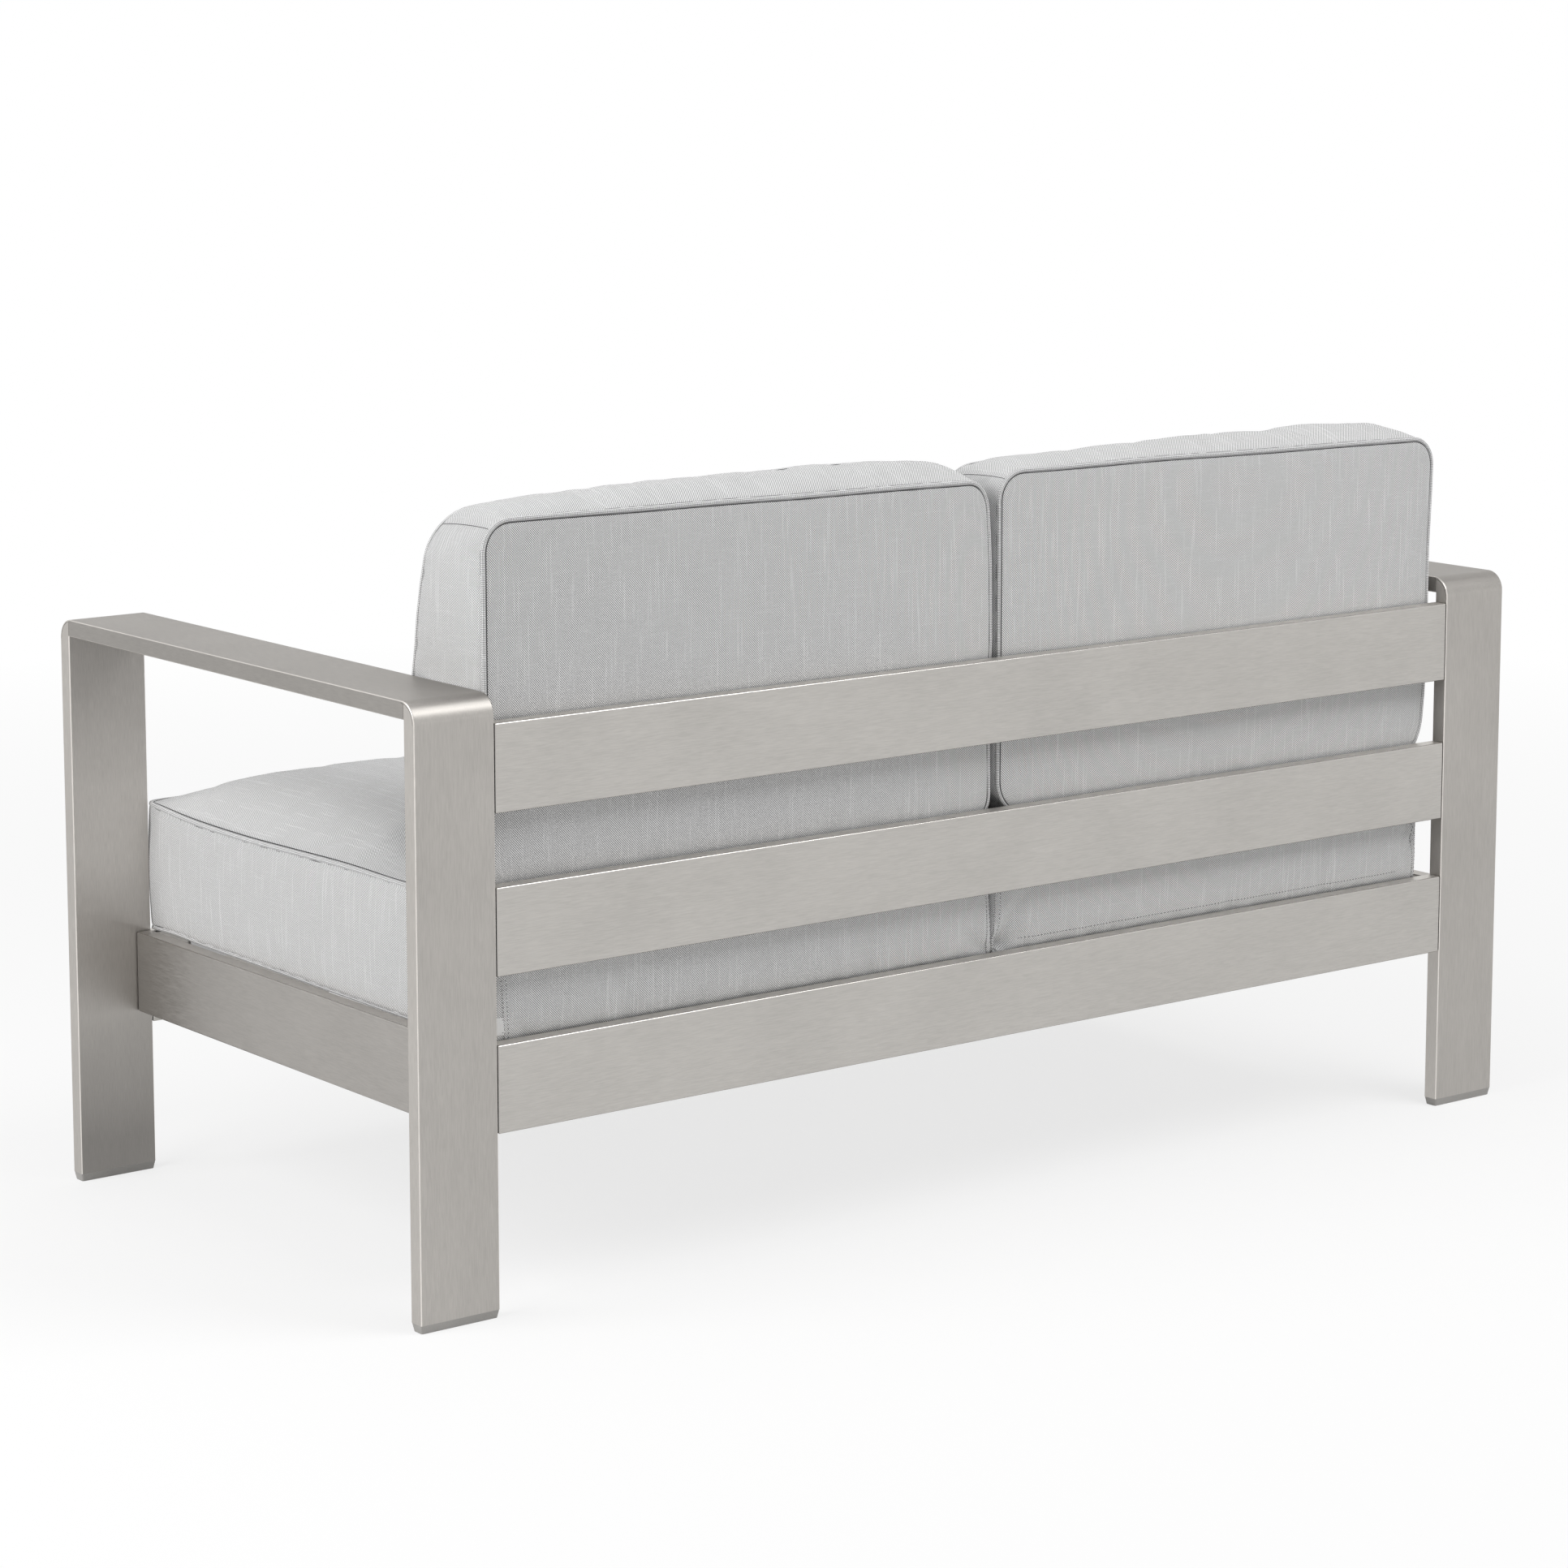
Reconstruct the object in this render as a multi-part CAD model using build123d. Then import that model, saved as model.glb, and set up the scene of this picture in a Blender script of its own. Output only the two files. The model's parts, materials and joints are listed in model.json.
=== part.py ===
from build123d import *
import os

# Garden sofa for two: flat aluminium tube arms, three back rails, slatted deck, four loose cushions.
# Millimetres, origin on the floor under the middle, +Z up, the sitter faces -Y, sitter's left is +X.

# Whole frame
overall_width = 1400.0
overall_depth = 654.0
arm_height = 582.0

# Folded flat tube of the arm frames
tube_width = 86.0
tube_thickness = 17.0
tube_wall = 2.0
tube_edge_radius = 1.2
arm_corner_radius = 20.0
seam_width = 0.5
seam_depth = 0.5

# Foot caps
foot_height = 8.0
foot_inset = 1.5
foot_edge_radius = 2.0
foot_plug_length = 24.0
plug_clearance = 0.2

# Rails
rail_height = 83.0
rail_thickness = 17.0
rail_wall = 2.0
rail_edge_radius = 1.5
rail_end_gap = 1.2
rail_end_bevel = 0.8
front_rail_height = 94.5
seat_rail_top = 252.5
rear_apron_rise = 4.0
top_rail_drop = 27.0
middle_rail_gap_share = 0.483

# Spigots and their screws
spigot_length = 46.0
spigot_clearance = 0.25
screw_end_distance = 24.0
screw_spread_share = 0.42
rail_screw_radius = 3.0
rail_screw_head_radius = 5.6
rail_screw_head_depth = 2.8
rail_screw_length = 9.5
screw_clearance = 0.08
socket_radius = 2.0
socket_depth = 1.4

# Seat deck
slat_count = 8
slat_width = 60.0
slat_thickness = 12.0
slat_wall = 1.5
slat_edge_radius = 1.0
slat_end_gap = 3.0
slat_plug_flange = 1.6
slat_plug_length = 14.0
deck_drop = 2.5
ledge_depth = 25.0
ledge_drop = 24.0
ledge_thickness = 3.0
ledge_end_margin = 45.0
slat_end_margin = 1.75
ledge_screw_count = 5
deck_screw_radius = 2.0
deck_screw_head_radius = 4.2
deck_screw_head_height = 2.4
deck_screw_length = 6.5
slat_screw_spread = 30.0

# Cushions
cushion_side_gap = 3.0
cushion_centre_gap = 4.0
cushion_rear_gap = 4.0
cushion_front_setback = 7.0
cushion_float = 0.3
cushion_bulge = 2.2
cushion_corner = 27.0
cushion_crown_start = 70.0
cushion_bottom_edge = 6.0
seat_cushion_height = 130.0
seat_crown = 31.0
seat_pressed_crown = 11.0
back_cushion_height = 335.0
back_top_depth = 100.0
back_bottom_depth = 145.0
back_front_rise = 14.0
back_top_crown = 17.0
back_crown = 30.0
flat_crown = 0.6
top_edge_rise_share = 0.72
top_half_rise_share = 0.46
top_half_place_share = 0.38
back_upper_height_share = 0.22
back_lower_height_share = 0.24
back_upper_lean_share = 0.62
back_upper_crown_share = 0.6
back_lower_crown_share = 0.75
back_middle_crown_share = 0.3
back_corner_crown_share = 0.12
back_knee_drop_share = 0.05
cover_thickness = 1.6
core_gap = 0.3

# Zips under the cover flaps
zip_length = 440.0
zip_width = 6.0
zip_height = 1.6
zip_gap = 0.3
slider_length = 13.0
slider_width = 11.0
slider_height = 4.0
slider_tab_length = 18.0
slider_tab_width = 5.0
slider_tab_height = 1.2
zip_pocket_width = 15.0
zip_pocket_depth = 8.0
back_zip_setback = 32.0
left_zip_share = 0.84
right_zip_share = 0.16

cut_overrun = 5.0

# Places worked out from the sizes above
half_width = overall_width / 2
half_depth = overall_depth / 2
inner_x = half_width - tube_width
inner_y = half_depth - tube_thickness
rail_end_x = inner_x - rail_end_gap
rail_end_y = inner_y - rail_end_gap
rear_rail_y = half_depth - rail_thickness / 2
rear_rail_face = half_depth - rail_thickness
apron_top = seat_rail_top + rear_apron_rise
top_rail_top = arm_height - top_rail_drop
free_back_height = top_rail_top - rail_height - apron_top
middle_rail_top = apron_top + (free_back_height - rail_height) * middle_rail_gap_share + rail_height
deck_top = seat_rail_top - deck_drop
ledge_top = deck_top - slat_thickness
cushion_inner_x = cushion_centre_gap
cushion_outer_x = inner_x - cushion_side_gap
cushion_mid_x = (cushion_inner_x + cushion_outer_x) / 2
cushion_half_width = (cushion_outer_x - cushion_inner_x) / 2
cushion_rear_y = rear_rail_face - cushion_rear_gap
seat_front_y = -half_depth + cushion_front_setback
seat_bottom = deck_top + cushion_float
seat_top_edge = seat_bottom + seat_cushion_height
back_bottom = seat_top_edge + seat_pressed_crown + cushion_float


def block(x_range, y_range, z_range):
    """A box between two values on each axis."""
    size = [high - low for low, high in (x_range, y_range, z_range)]
    middle = [(high + low) / 2 for low, high in (x_range, y_range, z_range)]
    return Pos(*middle) * Box(*size)


def bar(plane, width, height, radius, length):
    """A straight bar with rounded long edges, drawn on a plane and run along its normal."""
    return extrude(plane * RectangleRounded(width, height, radius), length)


def rail(plane, width, height, length):
    """A rectangular tube with bevelled ends, open at both."""
    outer = bar(plane, width, height, rail_edge_radius, length)
    ends = outer.faces().sort_by(Axis(plane.origin, plane.z_dir))
    outer = chamfer(ends[0].edges() + ends[-1].edges(), rail_end_bevel)
    inner_width = width - 2 * rail_wall
    inner_height = height - 2 * rail_wall
    start = plane.offset(-cut_overrun)
    return outer - extrude(start * Rectangle(inner_width, inner_height), length + 2 * cut_overrun)


def countersunk_screw(plane, grow=0.0):
    """A socket screw whose head is flush with the plane; grow gives the hole that takes it."""
    cone = Cone(
        rail_screw_radius + grow, rail_screw_head_radius + grow, rail_screw_head_depth
    )
    head = Pos(0, 0, -rail_screw_head_depth / 2) * cone
    shank_length = rail_screw_length - rail_screw_head_depth + grow
    shank = Cylinder(rail_screw_radius + grow, shank_length)
    screw = head + Pos(0, 0, -rail_screw_head_depth - shank_length / 2) * shank
    if grow == 0:
        socket = extrude(RegularPolygon(socket_radius, 6), -socket_depth)
        screw -= socket
    return plane * screw


def pan_screw(plane, grow=0.0):
    """A domed screw whose head stands on the plane; grow gives the hole for its shank."""
    shank = Cylinder(deck_screw_radius + grow, deck_screw_length + grow)
    screw = Pos(0, 0, -(deck_screw_length + grow) / 2) * shank
    if grow == 0:
        head = Cylinder(deck_screw_head_radius, deck_screw_head_height)
        head = fillet(head.edges().sort_by(Axis.Z)[-1], deck_screw_head_height / 2)
        screw += Pos(0, 0, deck_screw_head_height / 2) * head
        screw -= Pos(0, 0, deck_screw_head_height) * extrude(
            RegularPolygon(socket_radius, 6), -socket_depth
        )
    return plane * screw


def arm_frame():
    """The left arm: one flat tube folded into front leg, armrest and rear post."""
    height = arm_height - foot_height
    centre = Plane((inner_x, 0, foot_height), x_dir=(0, 1, 0), z_dir=(1, 0, 0))
    outline = centre * Pos(0, height / 2) * Rectangle(overall_depth, height)
    outline = fillet(outline.vertices().group_by(Axis.Z)[-1], arm_corner_radius)
    window_height = height - tube_thickness + cut_overrun
    window_shift = (height - tube_thickness - cut_overrun) / 2
    window_depth = overall_depth - 2 * tube_thickness
    outline -= centre * Pos(0, window_shift) * Rectangle(window_depth, window_height)
    shell = extrude(outline, tube_width)
    side_edges = shell.faces().filter_by(Axis.X).edges()
    low = foot_height + tube_edge_radius
    side_edges = [edge for edge in side_edges if edge.bounding_box().max.Z > low]
    shell = fillet(side_edges, tube_edge_radius)
    return shell - arm_cavity() - arm_seams()


def arm_cavity():
    """The room inside the folded tube, open at both feet."""
    height = arm_height - foot_height - tube_wall + cut_overrun
    shift = (arm_height + foot_height - tube_wall - cut_overrun) / 2
    depth = overall_depth - 2 * tube_wall
    start = Plane((inner_x + tube_wall, 0, 0), x_dir=(0, 1, 0), z_dir=(1, 0, 0))
    outline = start * Pos(0, shift) * Rectangle(depth, height)
    outline = fillet(outline.vertices().group_by(Axis.Z)[-1], arm_corner_radius - tube_wall)
    core_depth = overall_depth - 2 * tube_thickness + 2 * tube_wall
    core_height = arm_height - foot_height - tube_thickness + tube_wall + 2 * cut_overrun
    core_shift = foot_height - 2 * cut_overrun + core_height / 2
    outline -= start * Pos(0, core_shift) * Rectangle(core_depth, core_height)
    return extrude(outline, tube_width - 2 * tube_wall)


def arm_seams():
    """Hairline grooves where the notched side walls meet under the skin of each corner."""
    seams = []
    for side_x, inward in ((inner_x, 1), (half_width, -1)):
        x_range = sorted((side_x - inward * cut_overrun, side_x + inward * seam_depth))
        for end in (-1, 1):
            arc_y = end * (half_depth - arm_corner_radius)
            arc_z = arm_height - arm_corner_radius
            plane = Plane((x_range[0], arc_y, arc_z), x_dir=(0, 1, 0), z_dir=(1, 0, 0))
            middle = arm_corner_radius - tube_wall
            ring = Circle(middle + seam_width / 2) - Circle(middle - seam_width / 2)
            groove = extrude(plane * ring, x_range[1] - x_range[0])
            reach = sorted((arc_y, end * (half_depth + cut_overrun)))
            groove &= block(x_range, reach, (arc_z, arm_height + cut_overrun))
            seam_y = end * inner_y
            line_y = (seam_y - seam_width / 2, seam_y + seam_width / 2)
            line_z = (arm_height - tube_thickness, arm_height - tube_wall)
            seams += [groove, block(x_range, line_y, line_z)]
    return Part() + seams


def foot(end):
    """Foot cap of the left arm at one end of it, with the plug that holds it in the tube."""
    y_mid = end * (half_depth - tube_thickness / 2)
    x_mid = half_width - tube_width / 2
    sole = Plane((x_mid, y_mid, 0)) * RectangleRounded(
        tube_width - 2 * foot_inset, tube_thickness - 2 * foot_inset, foot_edge_radius
    )
    top = Plane((x_mid, y_mid, foot_height)) * RectangleRounded(
        tube_width, tube_thickness, foot_edge_radius
    )
    slack = 2 * tube_wall + 2 * plug_clearance
    plug = extrude(
        Plane((x_mid, y_mid, foot_height)) * Rectangle(tube_width - slack, tube_thickness - slack),
        foot_plug_length,
    )
    return loft([sole, top], ruled=True) + plug


def back_rail(top):
    """A back rail between the rear posts, with its top at a height."""
    start = Plane(
        (-rail_end_x, rear_rail_y, top - rail_height / 2), x_dir=(0, 1, 0), z_dir=(1, 0, 0)
    )
    return rail(start, rail_thickness, rail_height, 2 * rail_end_x)


def front_rail():
    """The front rail between the front legs."""
    start = Plane(
        (-rail_end_x, -rear_rail_y, deck_top - front_rail_height / 2),
        x_dir=(0, 1, 0),
        z_dir=(1, 0, 0),
    )
    return rail(start, rail_thickness, front_rail_height, 2 * rail_end_x)


def side_rail():
    """The left side rail, flush with the inner faces of leg and post."""
    start = Plane(
        (inner_x + rail_thickness / 2, -rail_end_y, seat_rail_top - rail_height / 2),
        x_dir=(1, 0, 0),
        z_dir=(0, 1, 0),
    )
    return rail(start, rail_thickness, rail_height, 2 * rail_end_y)


def spigot(face_plane, height):
    """A block that stands on a leg or post and fills the end of a rail."""
    slack = 2 * rail_wall + 2 * spigot_clearance
    return extrude(
        face_plane * Rectangle(rail_thickness - slack, height - slack), spigot_length
    )


def screw_planes(middle, along, normal, height):
    """Where the two screws of one rail end go, from the middle of the rail's end face."""
    spread = (height - 2 * rail_wall) * screw_spread_share / 2
    place = middle + along * screw_end_distance + normal * (rail_thickness / 2)
    return [
        Plane(place + Vector(0, 0, side * spread), x_dir=along, z_dir=normal) for side in (-1, 1)
    ]


def slat_x(index):
    """Middle of a slat: the outer slats lie just inside the ends of the ledges."""
    outer = inner_x - ledge_end_margin - slat_end_margin - slat_width / 2
    return -outer + 2 * outer * index / (slat_count - 1)


def seat_slat(index):
    """One slat of the deck: a shallow tube from front to back."""
    length = 2 * (rear_rail_face - slat_end_gap)
    start = Plane(
        (slat_x(index), -length / 2, deck_top - slat_thickness / 2),
        x_dir=(1, 0, 0),
        z_dir=(0, 1, 0),
    )
    outer = bar(start, slat_width, slat_thickness, slat_edge_radius, length)
    hollow = Rectangle(slat_width - 2 * slat_wall, slat_thickness - 2 * slat_wall)
    inner = extrude(start.offset(-cut_overrun) * hollow, length + 2 * cut_overrun)
    return outer - inner


def slat_plug(index, end):
    """A plastic plug that closes one end of a slat."""
    slack = 2 * slat_wall + 2 * plug_clearance
    face_y = end * (rear_rail_face - slat_end_gap)
    plane = Plane(
        (slat_x(index), face_y, deck_top - slat_thickness / 2),
        x_dir=(-end, 0, 0),
        z_dir=(0, end, 0),
    )
    flange = bar(plane, slat_width, slat_thickness, slat_edge_radius, slat_plug_flange)
    insert = extrude(plane * Rectangle(slat_width - slack, slat_thickness - slack), -slat_plug_length)
    return flange + insert


def ledge(end):
    """An angle on the inner face of the front rail or the rear apron, which carries the slats."""
    half_length = inner_x - ledge_end_margin
    face_y = end * rear_rail_face
    flat_y = sorted((face_y, face_y - end * ledge_depth))
    web_y = sorted((face_y, face_y - end * ledge_thickness))
    flat = block((-half_length, half_length), flat_y, (ledge_top - ledge_thickness, ledge_top))
    web = block((-half_length, half_length), web_y, (ledge_top - ledge_drop, ledge_top))
    return flat + web


def ledge_screw_planes(end):
    """Where the screws of a ledge go through its web into the rail."""
    half_length = inner_x - ledge_end_margin
    pitch = 2 * half_length / ledge_screw_count
    face_y = end * (rear_rail_face - ledge_thickness)
    height = ledge_top - (ledge_drop + ledge_thickness) / 2
    planes = []
    for index in range(ledge_screw_count):
        place = (-half_length + pitch * (2 * index + 1) / 2, face_y, height)
        planes.append(Plane(place, x_dir=(1, 0, 0), z_dir=(0, -end, 0)))
    return planes


def slat_screw_planes(index):
    """Where the screws of one slat go up through both ledges."""
    reach = rear_rail_face - (ledge_depth + ledge_thickness) / 2
    planes = []
    for end in (-1, 1):
        for side in (-1, 1):
            place = (slat_x(index) + side * slat_screw_spread / 2, end * reach)
            origin = (place[0], place[1], ledge_top - ledge_thickness)
            planes.append(Plane(origin, x_dir=(1, 0, 0), z_dir=(0, 0, -1)))
    return planes


def line(start, end):
    """A straight edge."""
    return Edge.make_line(start, end)


def arc(start, middle, end):
    """An edge that bends through three points."""
    return Edge.make_three_point_arc(start, middle, end)


# Seat cushion, front to back: shares of the depth, of the corner drawn in, of the free crown and
# of the crown that the back cushion presses down
seat_station_shares = [
    (0.0, 1.0, 0.02, 0.0),
    (0.014, 0.32, 0.22, 0.0),
    (0.043, 0.0, 0.47, 0.0),
    (0.1, 0.0, 0.78, 0.0),
    (0.19, 0.07, 0.95, 0.0),
    (0.4, 0.13, 1.0, 0.0),
    (0.62, 0.13, 0.86, 0.0),
    (0.75, 0.07, 0.0, 1.0),
    (0.957, 0.0, 0.0, 1.0),
    (0.986, 0.32, 0.0, 0.5),
    (1.0, 1.0, 0.0, 0.06),
]


def seat_section(y, half, bottom, top, crown):
    """Outline of a seat cushion at one depth: flat below, bulged sides, crowned top."""
    left, right = cushion_mid_x - half, cushion_mid_x + half
    low = bottom + cushion_bottom_edge
    middle = (low + top) / 2
    edge_rise = crown * top_edge_rise_share
    half_rise = crown * top_half_rise_share
    near, far = left + cushion_crown_start, right - cushion_crown_start
    foot_left, foot_right = left + cushion_bottom_edge, right - cushion_bottom_edge
    points = {
        "a": (foot_left, y, bottom), "b": (foot_right, y, bottom), "c": (right, y, low),
        "d": (right, y, top), "e": (far, y, top + edge_rise), "f": (near, y, top + edge_rise),
        "g": (left, y, top), "h": (left, y, low),
    }
    quarter = cushion_crown_start * top_half_place_share
    return Wire([
        line(points["a"], points["b"]),
        line(points["b"], points["c"]),
        arc(points["c"], (right + cushion_bulge, y, middle), points["d"]),
        arc(points["d"], (right - quarter, y, top + half_rise), points["e"]),
        arc(points["e"], (cushion_mid_x, y, top + crown), points["f"]),
        arc(points["f"], (left + quarter, y, top + half_rise), points["g"]),
        arc(points["g"], (left - cushion_bulge, y, middle), points["h"]),
        line(points["h"], points["a"]),
    ])


def seat_form(inset):
    """The left seat cushion, drawn in all round by an inset."""
    depth = cushion_rear_y - seat_front_y - 2 * inset
    sections = []
    for depth_share, corner_share, free_share, pressed_share in seat_station_shares:
        y = seat_front_y + inset + depth * depth_share
        half = cushion_half_width - inset - cushion_corner * corner_share
        drop = cushion_bottom_edge * corner_share
        bottom = seat_bottom + inset
        top = seat_top_edge - inset - drop
        crown = max(seat_crown * free_share + seat_pressed_crown * pressed_share, flat_crown)
        sections.append(seat_section(y, half, bottom, top, crown))
    return Solid.make_loft(sections, True)


# Back cushion, side to side: share of the width, share of the corner drawn in, share of the crown
back_station_shares = [
    (0.0, 1.0, 0.02),
    (0.014, 0.32, 0.25),
    (0.045, 0.0, 0.5),
    (0.11, 0.0, 0.8),
    (0.25, 0.0, 0.97),
    (0.5, 0.0, 1.0),
    (0.75, 0.0, 0.97),
    (0.89, 0.0, 0.8),
    (0.955, 0.0, 0.5),
    (0.986, 0.32, 0.25),
    (1.0, 1.0, 0.02),
]


def back_section(x, bottom, top, rear, thin, crown_share):
    """Outline of a back cushion at one width: upright behind, wedge in front, crowned."""
    front_crown = max(back_crown * crown_share, flat_crown)
    top_crown = max(back_top_crown * crown_share, flat_crown)
    top_front = rear - back_top_depth + 2 * thin
    low_front = rear - back_bottom_depth + 2 * thin
    front_top = top + back_front_rise * crown_share
    low = bottom + cushion_bottom_edge
    height = front_top - low
    upper = front_top - height * back_upper_height_share
    lower = low + height * back_lower_height_share
    lean = (low_front - top_front) * back_upper_lean_share
    upper_y = top_front + lean - front_crown * back_upper_crown_share
    lower_y = low_front - front_crown * back_lower_crown_share
    middle_y = (upper_y + lower_y) / 2 - front_crown * back_middle_crown_share
    corner = front_crown * back_corner_crown_share
    drop = front_crown * back_knee_drop_share
    a = (x, rear - cushion_bottom_edge, bottom)
    b = (x, rear, low)
    c = (x, rear, top)
    d = (x, top_front, front_top)
    e = (x, upper_y, upper)
    f = (x, lower_y, lower)
    g = (x, low_front, low)
    h = (x, low_front + cushion_bottom_edge, bottom)
    ridge = (x, (rear + top_front) / 2, (top + front_top) / 2 + top_crown)
    shoulder = (x, (d[1] + e[1]) / 2 - corner, (d[2] + e[2]) / 2 + corner)
    knee = (x, (f[1] + g[1]) / 2 - corner, (f[2] + g[2]) / 2 - drop)
    return Wire([
        line(a, b),
        line(b, c),
        arc(c, ridge, d),
        arc(d, shoulder, e),
        arc(e, (x, middle_y, (upper + lower) / 2), f),
        arc(f, knee, g),
        line(g, h),
        line(h, a),
    ])


def back_form(inset):
    """The left back cushion, drawn in all round by an inset."""
    width = 2 * (cushion_half_width - inset)
    sections = []
    for width_share, corner_share, crown_share in back_station_shares:
        x = cushion_mid_x - width / 2 + width * width_share
        draw = cushion_corner * corner_share
        bottom = back_bottom + inset + draw
        top = back_bottom + back_cushion_height - inset - draw
        rear = cushion_rear_y - inset
        sections.append(back_section(x, bottom, top, rear, inset, crown_share))
    return Solid.make_loft(sections, True)


def zip_pieces(plane):
    """Chain, slider and the pocket in the foam, on a plane that faces into the cushion."""
    chain = plane * Pos(0, 0, zip_height / 2) * Box(zip_length, zip_width, zip_height)
    start = -zip_length / 2 + slider_length
    body = Box(slider_length, slider_width, slider_height)
    channel_height = zip_height
    channel = Pos(0, 0, (channel_height - slider_height) / 2) * Box(
        slider_length + cut_overrun, zip_width + 2 * zip_gap, channel_height
    )
    tab = Pos(slider_length, 0, (slider_height + slider_tab_height) / 2) * Box(
        slider_tab_length, slider_tab_width, slider_tab_height
    )
    rise = zip_gap + slider_height / 2
    slider = plane * Pos(start, 0, rise) * ((body - channel) + tab)
    pocket_length = zip_length + 2 * slider_length
    pocket_height = zip_pocket_depth + cut_overrun
    pocket = plane * Pos(0, 0, (zip_pocket_depth - cut_overrun) / 2) * Box(
        pocket_length, zip_pocket_width, pocket_height
    )
    return chain, slider, pocket


def cushion(form, zip_plane):
    """Cover, foam core, zip chain and zip slider of a cushion."""
    cover = Part() + (form(0) - form(cover_thickness))
    chain, slider, pocket = zip_pieces(zip_plane)
    core = Part() + (form(cover_thickness + core_gap) - pocket)
    return {"cover": cover, "core": core, "zip": chain, "zip_slider": slider}


def seat_cushion(zip_share):
    """A seat cushion with its zip at a share of the height of its rear side."""
    height = seat_bottom + seat_cushion_height * zip_share
    place = (cushion_mid_x, cushion_rear_y - cover_thickness, height)
    return cushion(seat_form, Plane(place, x_dir=(1, 0, 0), z_dir=(0, -1, 0)))


def back_cushion():
    """A back cushion with its zip in the underside, near the rear edge."""
    place = (cushion_mid_x, cushion_rear_y - back_zip_setback, back_bottom + cover_thickness)
    return cushion(back_form, Plane(place, x_dir=(1, 0, 0), z_dir=(0, 0, 1)))


def mirrored(solid):
    """The same piece on the other side of the sofa."""
    return mirror(solid, about=Plane.YZ)


def build_frame():
    """Every piece of the metal frame and deck, by name."""
    pieces = {}
    pieces["left_arm_frame"] = arm_frame()
    pieces["left_side_rail"] = side_rail()
    pieces["front_left_foot"] = foot(-1)
    pieces["rear_left_foot"] = foot(1)
    tops = {
        "back_top_rail": top_rail_top,
        "back_middle_rail": middle_rail_top,
        "back_bottom_rail": apron_top,
    }
    for name, top in tops.items():
        pieces[name] = back_rail(top)
    pieces["front_rail"] = front_rail()
    fit_spigots(pieces, tops)
    pieces["right_arm_frame"] = mirrored(pieces["left_arm_frame"])
    pieces["front_right_foot"] = mirrored(pieces["front_left_foot"])
    pieces["rear_right_foot"] = mirrored(pieces["rear_left_foot"])
    fit_deck(pieces)
    return pieces


def fit_spigots(pieces, tops):
    """Spigots at every rail end, the screws through the rails and the holes for them."""
    heights = {name: (top - rail_height / 2, rail_height) for name, top in tops.items()}
    heights["front_rail"] = (deck_top - front_rail_height / 2, front_rail_height)
    left_spigots, front_spigots, back_screws, front_screws = [], [], [], []
    for name, (middle_z, height) in heights.items():
        front = name == "front_rail"
        middle_y = -rear_rail_y if front else rear_rail_y
        normal = Vector(0, 1, 0) if front else Vector(0, -1, 0)
        for side in (1, -1):
            face = Plane((side * inner_x, middle_y, middle_z), x_dir=(0, 1, 0), z_dir=(-side, 0, 0))
            end = Vector(side * rail_end_x, middle_y, middle_z)
            planes = screw_planes(end, Vector(-side, 0, 0), normal, height)
            holes = [countersunk_screw(plane, screw_clearance) for plane in planes]
            block_piece = spigot(face, height) - holes
            pieces[name] -= holes
            screws = [countersunk_screw(plane) for plane in planes]
            if front:
                front_spigots.append(block_piece)
                front_screws += screws
            else:
                back_screws += screws
                if side == 1:
                    left_spigots.append(block_piece)
    side_spigots, side_screws = [], []
    middle_x = inner_x + rail_thickness / 2
    middle_z = seat_rail_top - rail_height / 2
    for end in (-1, 1):
        face = Plane((middle_x, end * inner_y, middle_z), x_dir=(1, 0, 0), z_dir=(0, -end, 0))
        start = Vector(middle_x, end * rail_end_y, middle_z)
        planes = screw_planes(start, Vector(0, -end, 0), Vector(-1, 0, 0), rail_height)
        holes = [countersunk_screw(plane, screw_clearance) for plane in planes]
        side_spigots.append(spigot(face, rail_height) - holes)
        pieces["left_side_rail"] -= holes
        side_screws += [countersunk_screw(plane) for plane in planes]
    pieces["right_side_rail"] = mirrored(pieces["left_side_rail"])
    pieces["left_back_spigots"] = Compound(left_spigots)
    pieces["right_back_spigots"] = Compound([mirrored(item) for item in left_spigots])
    pieces["left_side_spigots"] = Compound(side_spigots)
    pieces["right_side_spigots"] = Compound([mirrored(item) for item in side_spigots])
    pieces["front_rail_spigots"] = Compound(front_spigots)
    pieces["back_rail_screws"] = Compound(back_screws)
    pieces["front_rail_screws"] = Compound(front_screws)
    right_screws = [mirrored(item) for item in side_screws]
    pieces["side_rail_screws"] = Compound(side_screws + right_screws)


def fit_deck(pieces):
    """Ledges, slats, plugs and screws of the seat deck, and the holes for them."""
    ledges = {"front_ledge": ("front_rail", -1), "rear_ledge": ("back_bottom_rail", 1)}
    ledge_screws = []
    for name, (rail_name, end) in ledges.items():
        planes = ledge_screw_planes(end)
        holes = [pan_screw(plane, screw_clearance) for plane in planes]
        pieces[name] = ledge(end) - holes
        pieces[rail_name] -= holes
        ledge_screws += [pan_screw(plane) for plane in planes]
    pieces["ledge_screws"] = Compound(ledge_screws)
    slat_screws, plugs = [], []
    for index in range(slat_count):
        planes = slat_screw_planes(index)
        holes = [pan_screw(plane, screw_clearance) for plane in planes]
        pieces["seat_slat_" + str(index + 1)] = seat_slat(index) - holes
        pieces["front_ledge"] -= holes
        pieces["rear_ledge"] -= holes
        slat_screws += [pan_screw(plane) for plane in planes]
        plugs += [slat_plug(index, end) - holes for end in (-1, 1)]
    pieces["slat_screws"] = Compound(slat_screws)
    pieces["slat_plugs"] = Compound(plugs)


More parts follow.
